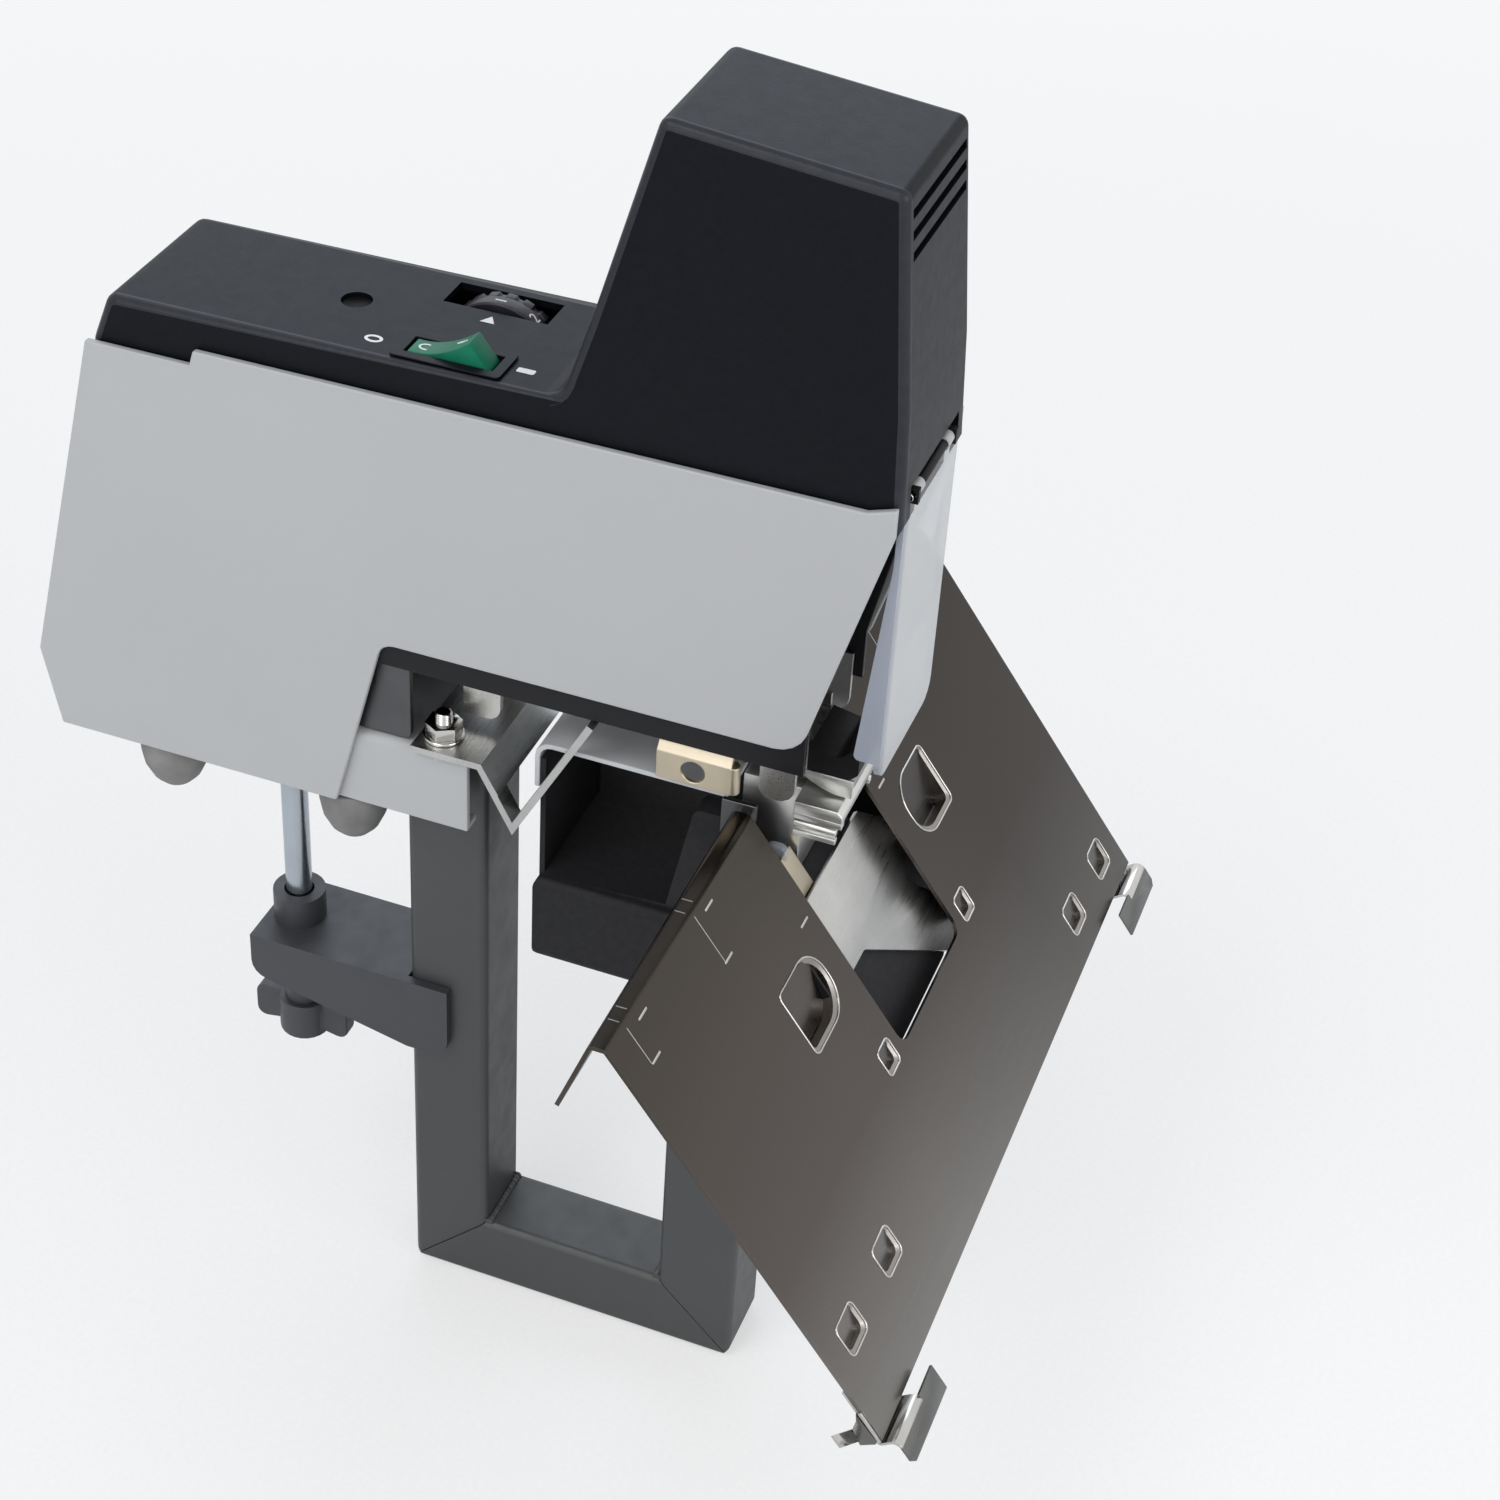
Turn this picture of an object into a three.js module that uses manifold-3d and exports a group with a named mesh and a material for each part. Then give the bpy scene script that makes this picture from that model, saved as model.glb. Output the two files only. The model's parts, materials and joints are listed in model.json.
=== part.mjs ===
// Electric flat and saddle stapler with a table clamp.
// Millimetres, +X to the operator's right, -Y towards the operator, +Z up.
// The machine is drawn about its staple point: x = 0 is its middle plane, y = 0 the line of the driver
// and z = 0 the ridge of the saddle table. The last group puts the underside of the base at the origin.

import * as THREE from 'three';
import { mergeVertices } from 'three/addons/utils/BufferGeometryUtils.js';
import Module from 'manifold-3d';

const wasm = await Module();
wasm.setup();

// Fits
const fit = 0.3;               // between pieces that seat on each other
const running = 0.6;           // round a piece that slides or turns freely
const overrun = 2;             // how far a cutting tool runs past the face it cuts
const arcSteps = 4;            // chords in a rounded corner

// Welded stand: two columns and a bar of square tube
const tubeWidth = 25;
const tubeWall = 2;
const tubeRadius = 2.5;
const standRadius = 5;
const ridgeHeight = 227;       // ridge above the underside of the bar
const throatDepth = 79.5;      // driver line to the rear column
const frontColumnLead = 3.5;   // the front column stands this far ahead of the driver line

// Base channel, its closing plate and the feet
const bodyWidth = 50;
const chassisSheet = 2;
const channelDrop = 9.5;       // top of the channel below the ridge
const channelHeight = 24.5;
const channelBend = 3;
const channelLip = 6;
const bodyLength = 127.4;      // front of the channel to the rear bottom corner
const footRadius = 10;
const footHeight = 18;
const footOffset = 16;
const footClear = 14.5;         // front feet behind the rear column
const footInset = 30.2;         // rear feet ahead of the rear end

// Table clamp
const spindleReach = 42.8;      // behind the rear column
const spindleRadius = 4;
const spindleLength = 138;
const spindleNutRadius = 7;
const spindleNutHeight = 4.7;
const clampDrop = 106.5;       // top of the clamp arm below the ridge
const clampLength = 52;        // behind the rear column
const clampLap = 13.5;         // its cheeks lap the column this far
const clampSheet = 2.7;
const clampTipHeight = 15;
const clampToeHeight = 26;
const clampTipRadius = 6;
const collarRadius = 8;
const collarHeight = 10;
const knobStemRadius = 6;
const knobDrop = 32.5;         // hub of the knob below the top of the arm
const hubRadius = 8;
const hubHeight = 13;
const wingReach = 15.7;
const wingThickness = 5.5;
const wingRadius = 3;

// Arm frame: a folded channel, open below
const throatHeight = 15.7;     // underside of the arm above the ridge
const armFront = 15.5;
const armChin = 15.3;
const armBrow = 27.5;          // front of the arm at its web
const webBack = 52;
const bodyRise = 94;           // underside of the arm to the deck

// Chassis plates behind the throat
const chassisSetback = 18;     // behind the front of the channel
const chassisHeight = 83;

// Side covers
const sideSheet = 2.1;
const coverTopDrop = 9.3;      // their top edge below the deck
const coverStep = 4.4;
const coverStepLength = 32;
const coverStepRun = 1.3;
const coverBulge = 5.1;         // covers beyond the rear end of the base
const coverRearLean = 24.7;     // their top rear corner ahead of the bulge
const coverBulgeHeight = 25;
const notchTopRun = 24.1;       // corners of their notch behind the rear column's front
const notchBottomRun = 39.4;
const notchRadius = 5;
const armCoverEdge = 8.3;      // lower edge of the cover above the arm's underside
const coverNose = 14.3;
const coverNoseRadius = 9;
const coverBrow = 33.9;        // front of the cover below its ear
const earRise = 2.5;
const earDrop = 5.7;
const earReach = 7.5;

// Rear panel with the power inlet
const panelSheet = 1.6;
const inletWidth = 28;
const inletHeight = 20;
const inletRim = 2.5;
const inletDepth = 18;
const inletWall = 2;
const inletPinLength = 11;
const inletPinWidth = 4;
const inletPinSheet = 2;
const inletPinPitch = 7;
const inletMiddle = 52;        // above the channel
const fuseRadius = 6;
const fuseDepth = 22;
const fuseCapRadius = 7.5;
const fuseCapHeight = 3;
const fuseMiddle = 22;

// Moulded top cover: deck and tower in one shell
const coverWall = 2;
const skirtHeight = 22;
const skirtLead = 3.8;         // skirt's front behind the foot of the tower's face
const deckInset = 6.3;          // rear of the deck ahead of the covers' top corner
const deckLean = 4.9;
const deckLeanHeight = 12.5;
const deckRadius = 4;
const towerHeight = 72.5;      // deck to the tower's front top edge
const towerTopRise = 6.2;      // the tower's top rises towards the rear
const towerTopBack = 31.5;
const towerTopFront = 28.3;
const towerRadius = 3;
const towerFootRadius = 7;
const towerFoot = 54.5;
const towerKnee = 47.2;
const towerKneeHeight = 23.3;
const towerBelly = 33.5;
const towerBellyHeight = 16.3;
const towerChin = 35;
const towerChinDrop = 12.7;
const towerTopWidth = 47;
const ventCount = 3;
const ventHeight = 2.4;
const ventPitch = 5.2;
const ventWidth = 41;
const ventTopDrop = 5;         // first vent below the tower's front top edge
const hingeNotchWidth = 39;
const hingeNotchDrop = 4.2;    // below the deck

// Deck fittings
const controlsBack = 86.8;
const deckHoleRadius = 4.2;
const deckHoleBack = 121.7;
const dialWindowWidth = 11.2;
const dialWindowLength = 29.4;
const dialOffset = 14.6;
const dialRadius = 16;
const dialWidth = 7;
const dialProud = 1.4;
const dialAxleRadius = 1.8;
const dialTeeth = 32;
const dialToothDepth = 0.7;
const dialLug = 2;
const dialLugWidth = 9;
const switchOffset = 15.8;
const switchWidth = 13.5;
const switchLength = 30.3;
const bezelHeight = 0.5;
const bezelRim = 1.3;
const switchDepth = 17;
const switchWall = 1.6;
const rockerLength = 21;
const rockerDepth = 5;
const rockerRise = 5.2;
const rockerTilt = 14;         // degrees, pressed at its rear end
const rockerPivotDrop = 0.6;
const boardSheet = 1.6;
const boardSetback = 18.5;      // behind the rear column's front
const boardInset = 5;           // ahead of the rear of the deck
const capacitorRadius = 6;
const capacitorLength = 22;
const capacitorInset = 11;
const relaySide = 12;
const relayHeight = 9;
const relayInset = 20;

// Solenoid
const yokeSheet = 4;
const yokeWidth = 26;
const yokeDepth = 44;
const yokeHeight = 74.3;
const plungerRadius = 8.4;
const plungerDrop = 25.7;      // plunger's end below the web at rest
const capRadius = 13;
const capHeight = 3;
const bobbinWall = 1.2;
const bobbinFlange = 2;
const windingInset = 0.7;

// Driver
const stroke = 14;
const driverWidth = 11.6;
const driverSheet = 1.2;
const driverClear = 0.4;
const guideDepth = 18;
const guideBottom = 24;
const guideHeight = 9.7;
const springWire = 1.4;
const springRadius = 7.2;      // to the middle of the wire
const springTurns = 6;
const springSteps = 60;
const springSides = 6;

// Magazine, its drawer and the pusher
const magazineWidth = 18.4;
const magazineWall = 1.2;
const noseClear = 1.2;         // nose above the ridge at rest
const noseFront = 24;
const noseLipHeight = 5.5;
const noseRadius = 4;
const noseBack = 8;
const magazineFloor = 7;
const magazineTop = 19;
const magazineFront = 11.7;
const magazineTail = 3.3;       // behind its pivot
const pivotRun = 1.5;           // pivot behind the rear column's front
const pivotHeight = 10;
const pivotRadius = 2.5;
const drawerSheet = 1;
const drawerHeight = 6.5;
const drawerClear = 9.7;        // its rear end ahead of the pivot
const coreWidth = 11.2;
const coreHeight = 4.5;
const coreBack = 2;
const crownWidth = 12.8;       // outer width of the pusher, as of a staple's crown
const pusherLength = 12;
const pusherTop = 1;
const handleWidth = 20;
const handleFront = 26;
const handleTop = 16.4;
const handleLip = 2;
const handleDish = 3.6;

// Carrier of the magazine's pivot, and plates beside the nose
const cheekSheet = 2;
const cheekGap = 20;
const cheekLength = 11;
const cheekBottom = -3.5;
const cheekRadius = 4;
const carrierTop = 32;
const noseGuideSheet = 1.3;
const noseGuideFront = 13;
const noseGuideWidth = 10;
const noseGuideClear = 4;       // above the ridge
const sideBracketSheet = 1.4;
const sideBracketFront = 4;
const sideBracketLength = 21;
const sideBracketBottom = 3.2;
const sideBracketJoggle = 3;
const sideBracketHole = 3.3;
const sideBracketCurl = 2;

// Guard in front of the head
const guardWidth = 44;
const guardSheet = 1.6;
const guardTop = 96;
const guardBottom = 17.3;
const guardRadius = 6;
const guardReturn = 5.6;
const guardReturnTop = 83;
const wireRadius = 1.2;
const wireLength = 35;
const wireFront = 33.7;
const wireHeight = 101;
const knuckleWall = 0.9;
const knuckleWidth = 4.5;
const knuckleOffset = 12;
const mountWidth = 37;
const mountSheet = 1.8;
const mountEar = 1.8;
const mountFoot = 9;

// Anvil
const anvilWidth = 32;
const anvilFront = 24.5;
const anvilBack = 5.7;
const anvilHead = 10;
const anvilChamfer = 1.5;
const anvilStem = 26;
const anvilStemFront = 19;
const anvilToe = 9;
const anvilHeight = 31;
const anvilGroove = 1.6;
const anvilLand = 3;
const clinchDepth = 1;
const clinchWidth = 2.4;
const tabSheet = 2.6;
const tabFront = 10;
const tabWidth = 6.5;
const tabTop = 17;
const tabRadius = 2.6;

// Lower housing, its front plate and the work plate
const housingWidth = 51;
const housingClear = 19.9;      // its rear wall ahead of the rear column
const housingFloor = 43.5;     // below the ridge
const housingHeight = 28.5;
const housingRadius = 3;
const humpWidth = 41.2;
const humpBack = 22;
const humpTopBack = 15;
const humpDrop = 8;
const housingWall = 1.6;
const frontPlateClear = 5.5;   // behind the face of the saddle panel
const frontPlateSheet = 1.5;
const frontPlateWidth = 58;
const frontPlateTop = 10;
const frontPlateSill = 41;
const frontPlateEnd = 79.7;
const frontPlateHeel = 54.5;
const workPlateWidth = 41;
const workPlateSheet = 1.6;
const workPlateProud = 0.3;
const workPlateClear = 18;      // its bend ahead of the rear column
const workPlateLip = 15;
const workPlateBend = 5;

// Saddle table
const tableWidth = 248;
const tableSheet = 1.2;
const ridgeWidth = 4.6;
const panelLength = 129;
const panelSlope = 53;         // degrees below the horizontal
const flangeLength = 24;
const flangeSlope = 69.6;      // degrees below the horizontal
const cutoutWidth = 52;
const cutoutLength = 80;
const cutoutRadius = 4;
const moonWidth = 23;
const moonLength = 20;
const moonOffset = 47.7;
const moonTop = 36;
const moonRadius = 2;
const moonNose = 9;            // its side towards the middle is round
const windowSize = 8;
const windowOffset = 34.5;
const windowTop = 73;
const windowRadius = 1.5;
const bridgeWidth = 11.5;
const bridgeLength = 9.6;
const bridgeInset = 14.5;       // outer bridges in from the table's ends
const bridgePitch = 28.5;
const leftBridgeFoot = 29.2;    // tops of the bridges above the panel's foot
const rightBridgeFoot = 17;
const bridgeRadius = 2;
const tongueAngle = 13;        // degrees into the panel
const tongueGap = 0.8;
const tableBracketSheet = 1.5;
const tableBracketBack = 7;
const tableBracketHeight = 14;
const tablePinRadius = 1.5;
const tablePinLength = 13;

// Stops at the foot of the saddle panel
const stopSheet = 1.2;
const stopInset = 14;           // middle of its neck in from the table's end
const stopNeck = 16;
const stopNeckLength = 9;
const stopProud = 4;            // beyond the panel's foot
const stopWidth = 26;
const stopShift = 5;
const stopRise = 12;
const runnerInset = 7;
const runnerProud = 7.5;        // beyond the table's end
const runnerLength = 21;

// Paper stop at the rear of the throat
const stopPlateWidth = 54.8;
const stopPlateSheet = 2;
const stopLead = 4;             // its bend ahead of the rear column
const stopFlange = 20;
const stopApronRun = 4.6;
const stopApronDrop = 8;
const hookWidth = 6;
const hookDrop = 19.3;
const hookRun = 10.5;
const hookRise = 43;
const hookReturn = 23;
const studOffset = 19.4;
const studBack = 13.5;         // behind the bend
const studRadius = 2.3;
const studHeight = 15;
const studHeadRadius = 3.3;
const studHeadHeight = 2;
const nutRadius = 6;
const nutHeight = 3.4;
const stopForward = 6;
const stopBackward = 1;

// Shapes given as shares of the piece's own size
const domeRadiusShares = [0.42, 0.72, 0.92, 1];
const domeHeightShares = [1, 0.82, 0.58, 0.32];

// Places worked out from the sizes above
const bodyHalf = bodyWidth / 2;
const tubeHalf = tubeWidth / 2;
const deckZ = throatHeight + bodyRise;
const channelZ = -channelDrop;
const baseZ = channelZ - channelHeight;
const baseRear = throatDepth + bodyLength;
const channelRear = baseRear - panelSheet - panelSheet;
const standZ = -ridgeHeight;
const barZ = standZ + tubeWidth;
const columnBack = throatDepth + tubeWidth;
const spindleBack = columnBack + spindleReach;
const footFrontBack = columnBack + footClear;
const footRearBack = baseRear - footInset;
const frontColumnBack = tubeWidth - frontColumnLead;
const frameInner = bodyHalf - chassisSheet;
const chassisOuter = frameInner - fit;
const coverInner = bodyHalf + fit;
const coverOuter = coverInner + sideSheet;
const coverZ = deckZ - coverTopDrop;
const skirtZ = deckZ - skirtHeight;
const webZ = skirtZ - fit;
const bulgeZ = baseZ + coverBulgeHeight;
const coverRearBulge = baseRear + coverBulge;
const coverRearTop = coverRearBulge - coverRearLean;
const coverStepBack = coverRearTop - coverStepLength;
const notchTopBack = throatDepth + notchTopRun;
const notchBottomBack = throatDepth + notchBottomRun;
const deckBack = coverRearTop - deckInset;
const boardFront = throatDepth + boardSetback;
const boardRear = deckBack - boardInset;
const relayBack = boardFront + relayInset;
const capacitorBack = boardRear - capacitorInset;
const pivotBack = throatDepth + pivotRun;
const magazineRear = pivotBack + magazineTail;
const drawerRear = pivotBack - drawerClear;
const stopBend = throatDepth - stopLead;
const housingBack = throatDepth - housingClear;
const workPlateBack = throatDepth - workPlateClear;
const tableHalf = tableWidth / 2;
const bridgeOuter = tableHalf - bridgeInset;
const bridgeInner = bridgeOuter - bridgePitch;
const leftBridgeTop = panelLength - leftBridgeFoot;
const rightBridgeTop = panelLength - rightBridgeFoot;
const stopCentre = tableHalf - stopInset;
const stopEnd = panelLength + stopProud;
const rearLean = (coverRearBulge - coverRearTop) / (coverZ - coverStep - bulgeZ);
const housingZ = -housingFloor - housingHeight;
const slope = THREE.MathUtils.degToRad(panelSlope);
const flangeTilt = THREE.MathUtils.degToRad(flangeSlope);
const ridgeHalf = ridgeWidth / 2;
const anvilZ = -anvilHeight;
const yokeZ = webZ + fit;
const yokeTop = yokeZ + yokeHeight;
const plungerZ = webZ - plungerDrop;
const capZ = yokeTop + stroke + fit;
const driverZ = noseClear + stroke;
const drawerZ = magazineFloor + magazineWall + fit;
const coreZ = drawerZ + drawerSheet + coreHeight;
const guideZ = guideBottom + guideHeight;
const hangerTop = guideBottom - fit;
const columnTopZ = anvilZ - fit;
const stopZ = channelZ + fit;

// Rear edge of the covers at a height
function rearAt(z) {
  return coverRearBulge - rearLean * (z - bulgeZ);
}

// A point of the section at a depth behind the panel's face, down it or level with a height
function behindPanel(depth, down) {
  return [
    -ridgeHalf + depth * Math.sin(slope) - down * Math.cos(slope),
    -depth * Math.cos(slope) - down * Math.sin(slope),
  ];
}

function behindPanelAt(depth, z) {
  return behindPanel(depth, (-z - depth * Math.cos(slope)) / Math.sin(slope));
}

// Solids from closed geometry, and joins and cuts between them
function solidOf(geometry) {
  const bare = geometry.clone();
  bare.deleteAttribute('normal');
  bare.deleteAttribute('uv');
  const closed = mergeVertices(bare);
  return new wasm.Manifold(new wasm.Mesh({
    numProp: 3,
    vertProperties: new Float32Array(closed.attributes.position.array),
    triVerts: new Uint32Array(closed.index.array),
  }));
}

function joined(first, ...others) {
  return others.reduce((sum, next) => sum.add(next), first);
}

function cut(body, ...tools) {
  return tools.reduce((rest, tool) => rest.subtract(tool), body);
}

function geometryOf(solid) {
  const { vertProperties, triVerts } = solid.getMesh();
  const geometry = new THREE.BufferGeometry();
  geometry.setAttribute('position', new THREE.BufferAttribute(new Float32Array(vertProperties), 3));
  geometry.setIndex(new THREE.BufferAttribute(new Uint32Array(triVerts), 1));
  geometry.computeVertexNormals();
  return geometry;
}

// Outlines are lists of corners [u, v] or [u, v, radius], counter-clockwise
function rounded(corners) {
  const points = [];
  corners.forEach(([u, v, radius = 0], i) => {
    const here = new THREE.Vector2(u, v);
    if (radius === 0) {
      points.push(here);
      return;
    }
    const before = corners[(i + corners.length - 1) % corners.length];
    const after = corners[(i + 1) % corners.length];
    const back = new THREE.Vector2(before[0] - u, before[1] - v).normalize();
    const onward = new THREE.Vector2(after[0] - u, after[1] - v).normalize();
    const half = Math.acos(THREE.MathUtils.clamp(back.dot(onward), -1, 1)) / 2;
    const middle = back.clone().add(onward).normalize();
    const centre = here.clone().addScaledVector(middle, radius / Math.sin(half));
    const reach = radius / Math.tan(half);
    const from = here.clone().addScaledVector(back, reach).sub(centre).angle();
    const to = here.clone().addScaledVector(onward, reach).sub(centre).angle();
    const turn = Math.atan2(Math.sin(to - from), Math.cos(to - from));
    for (let step = 0; step <= arcSteps; step += 1) {
      const angle = from + (turn * step) / arcSteps;
      const spoke = new THREE.Vector2(Math.cos(angle), Math.sin(angle));
      points.push(spoke.multiplyScalar(radius).add(centre));
    }
  });
  return points;
}

function rectangle(u0, u1, v0, v1, radius = 0) {
  return [[u0, v0, radius], [u1, v0, radius], [u1, v1, radius], [u0, v1, radius]];
}

function leftOf(from, to) {
  return new THREE.Vector2(from[1] - to[1], to[0] - from[0]).normalize();
}

// The same outline, drawn in by a wall
function inset(corners, wall) {
  return corners.map(([u, v, radius = 0], i) => {
    const before = corners[(i + corners.length - 1) % corners.length];
    const after = corners[(i + 1) % corners.length];
    const first = leftOf(before, [u, v]);
    const second = leftOf([u, v], after);
    const reach = wall / (1 + first.dot(second));
    const inwards = first.cross(second) > 0;
    const inner = inwards ? Math.max(radius - wall, 0) : radius + wall;
    return [u + (first.x + second.x) * reach, v + (first.y + second.y) * reach, radius ? inner : 0];
  });
}

// A folded sheet: one face drawn as a line, and the thickness to the left of it
function folded(line, thickness) {
  const other = line.map((point, i) => {
    const first = leftOf(line[Math.max(i - 1, 0)], line[Math.max(i, 1)]);
    const second = leftOf(line[Math.min(i, line.length - 2)], line[Math.min(i + 1, line.length - 1)]);
    const reach = thickness / (1 + first.dot(second));
    return [point[0] + (first.x + second.x) * reach, point[1] + (first.y + second.y) * reach];
  });
  return [...line, ...other.reverse()];
}

const alongAxis = {
  x: [new THREE.Vector3(0, 1, 0), new THREE.Vector3(0, 0, 1), new THREE.Vector3(1, 0, 0)],
  y: [new THREE.Vector3(1, 0, 0), new THREE.Vector3(0, 0, 1), new THREE.Vector3(0, -1, 0)],
  z: [new THREE.Vector3(1, 0, 0), new THREE.Vector3(0, 1, 0), new THREE.Vector3(0, 0, 1)],
};

function extruded(corners, depth, axes) {
  const shape = new THREE.Shape(rounded(corners));
  const geometry = new THREE.ExtrudeGeometry(shape, { depth, bevelEnabled: false });
  geometry.applyMatrix4(new THREE.Matrix4().makeBasis(...axes));
  return solidOf(geometry);
}

// An outline in (y, z) carried along X, in (x, z) along Y, and in (x, y) along Z
function alongX(corners, x0, x1) {
  return extruded(corners, x1 - x0, alongAxis.x).translate([x0, 0, 0]);
}

function alongY(corners, y0, y1) {
  return extruded(corners, y1 - y0, alongAxis.y).translate([0, y1, 0]);
}

function alongZ(corners, z0, z1) {
  return extruded(corners, z1 - z0, alongAxis.z).translate([0, 0, z0]);
}

function block(x0, x1, y0, y1, z0, z1) {
  const box = new THREE.BoxGeometry(x1 - x0, y1 - y0, z1 - z0);
  box.translate((x0 + x1) / 2, (y0 + y1) / 2, (z0 + z1) / 2);
  return solidOf(box);
}

// Round bars: across the machine, and upright from a profile of [radius, z]
function across(radius, x0, x1, y, z, sides = 20) {
  const bar = new THREE.CylinderGeometry(radius, radius, x1 - x0, sides);
  bar.rotateZ(Math.PI / 2);
  bar.translate((x0 + x1) / 2, y, z);
  return solidOf(bar);
}

function upright(profile, x, y, sides = 24) {
  const points = profile.map(([radius, z]) => new THREE.Vector2(radius, z));
  const form = new THREE.LatheGeometry(points, sides);
  form.rotateX(Math.PI / 2);
  form.translate(x, y, 0);
  return solidOf(form);
}

function shaft(radius, z0, z1, x, y, sides = 24) {
  return upright([[0, z0], [radius, z0], [radius, z1], [0, z1]], x, y, sides);
}

function mirrored(solid) {
  return solid.mirror([1, 0, 0]);
}

// Looks
function look(color, roughness, metalness, opacity = 1) {
  return new THREE.MeshStandardMaterial({
    color, roughness, metalness, opacity, transparent: opacity < 1,
  });
}

const blackPaint = look(0x2a2b2e, 0.55, 0.1);
const blackPlastic = look(0x1c1d20, 0.5, 0);
const silverPaint = look(0xb4b6b9, 0.5, 0.2);
const brushedSteel = look(0xb8b8b6, 0.35, 0.9);
const mirrorSteel = look(0x6a645e, 0.18, 0.9);
const zincSteel = look(0xa8b0ba, 0.3, 0.9);
const creamSteel = look(0xbfb5a2, 0.45, 0.6);
const darkSteel = look(0x4a4c50, 0.5, 0.7);
const copperWire = look(0x9a5a34, 0.5, 0.5);
const greenPlastic = look(0x0f6b48, 0.2, 0, 0.85);
const clearPlastic = look(0xd8dcdc, 0.25, 0, 0.4);
const greyRubber = look(0x77756f, 0.85, 0);
const boardGreen = look(0x2f6a3f, 0.6, 0);

function piece(name, solid, material) {
  const mesh = new THREE.Mesh(geometryOf(solid), material);
  mesh.name = name;
  return mesh;
}

// A piece that turns in use is drawn about its own axis and put in place by its position
function pieceAt(name, solid, material, x, y, z) {
  const mesh = piece(name, solid.translate([-x, -y, -z]), material);
  mesh.position.set(x, y, z);
  return mesh;
}

function assembly(...parts) {
  const group = new THREE.Group();
  group.add(...parts);
  return group;
}

// Stand: square tubes, mitred at the two lower corners
function standSide() {
  return alongX([
    [-frontColumnLead, 0],
    [-frontColumnLead, standZ, standRadius],
    [columnBack, standZ, standRadius],
    [columnBack, 0],
  ], -tubeHalf - overrun, tubeHalf + overrun);
}

function column(front, top, reach) {
  const back = front + tubeWidth;
  const bore = tubeHalf - tubeWall;
  const outer = alongZ(rectangle(-tubeHalf, tubeHalf, front, back, tubeRadius), standZ, top);
  const hollow = block(-bore, bore, front + tubeWall, back - tubeWall, standZ - overrun, top + overrun);
  const mitre = alongX(reach, -tubeHalf - overrun, tubeHalf + overrun);
  return cut(outer, hollow).intersect(mitre).intersect(standSide());
}

function rearColumn() {
  const top = channelZ - chassisSheet - fit;
  return column(throatDepth, top, [
    [throatDepth, barZ + fit], [columnBack, standZ + fit], [columnBack, top], [throatDepth, top],
  ]);
}

function frontColumn() {
  return column(-frontColumnLead, columnTopZ, [
    [-frontColumnLead, standZ + fit], [frontColumnBack, barZ + fit],
    [frontColumnBack, columnTopZ], [-frontColumnLead, columnTopZ],
  ]);
}

function bottomBar() {
  const bore = tubeHalf - tubeWall;
  const outer = alongY(rectangle(-tubeHalf, tubeHalf, standZ, barZ, tubeRadius),
    -frontColumnLead, columnBack);
  const hollow = block(-bore, bore, -frontColumnLead - overrun, columnBack + overrun,
    standZ + tubeWall, barZ - tubeWall);
  const mitres = alongX([
    [-frontColumnLead, standZ], [columnBack, standZ], [throatDepth, barZ], [frontColumnBack, barZ],
  ], -tubeHalf - overrun, tubeHalf + overrun);
  return cut(outer, hollow).intersect(mitres).intersect(standSide());
}

// Base: a folded channel, open at its front end, and a plate that closes it behind the column
function baseChannel() {
  const section = [
    [-bodyHalf, baseZ], [bodyHalf, baseZ],
    [bodyHalf, channelZ, channelBend], [-bodyHalf, channelZ, channelBend],
  ];
  const mouth = bodyHalf - channelLip;
  const plateFront = columnBack + fit;
  return cut(
    alongY(section, throatDepth, channelRear),
    block(-frameInner, frameInner, throatDepth - overrun, channelRear + overrun,
      baseZ + chassisSheet, channelZ - chassisSheet),
    block(-mouth, mouth, throatDepth - overrun, plateFront + overrun,
      baseZ - overrun, baseZ + chassisSheet + overrun),
    block(-frameInner, frameInner, plateFront, channelRear + overrun,
      baseZ - overrun, baseZ + chassisSheet + overrun),
    studSlot(-studOffset),
    studSlot(studOffset),
  );
}

function studSlot(x) {
  const back = stopBend + studBack;
  const radius = studRadius + fit;
  const front = back - stopForward - radius;
  const rear = back + stopBackward + radius;
  return alongZ(rectangle(x - radius, x + radius, front, rear), channelZ - chassisSheet - overrun,
    channelZ + overrun);
}

function basePlate() {
  const half = frameInner - fit;
  const plate = block(-half, half, columnBack + fit + fit, channelRear, baseZ, baseZ + chassisSheet);
  return cut(plate, shaft(spindleRadius + fit, baseZ - overrun, baseZ + chassisSheet + overrun,
    0, spindleBack));
}

function foot(x, y) {
  const top = baseZ - fit;
  const dome = domeRadiusShares.map((share, i) => [
    footRadius * share, top - footHeight * domeHeightShares[i],
  ]);
  return upright([[0, top - footHeight], ...dome, [footRadius, top], [0, top]], x, y);
}

function feet() {
  return assembly(
    piece('foot_front_left', foot(-footOffset, footFrontBack), greyRubber),
    piece('foot_front_right', foot(footOffset, footFrontBack), greyRubber),
    piece('foot_rear_left', foot(-footOffset, footRearBack), greyRubber),
    piece('foot_rear_right', foot(footOffset, footRearBack), greyRubber),
  );
}

// Table clamp: fixed spindle, an arm that slides up the column and a wing knob
function clampSpindle() {
  const top = channelZ - chassisSheet - fit;
  const under = baseZ - fit;
  const over = baseZ + chassisSheet + fit;
  return upright([
    [0, top - spindleLength], [spindleRadius, top - spindleLength],
    [spindleRadius, under - spindleNutHeight], [spindleNutRadius, under - spindleNutHeight],
    [spindleNutRadius, under], [spindleRadius, under], [spindleRadius, over],
    [spindleNutRadius, over], [spindleNutRadius, over + spindleNutHeight],
    [spindleRadius, over + spindleNutHeight], [spindleRadius, top], [0, top],
  ], 0, spindleBack);
}

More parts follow.
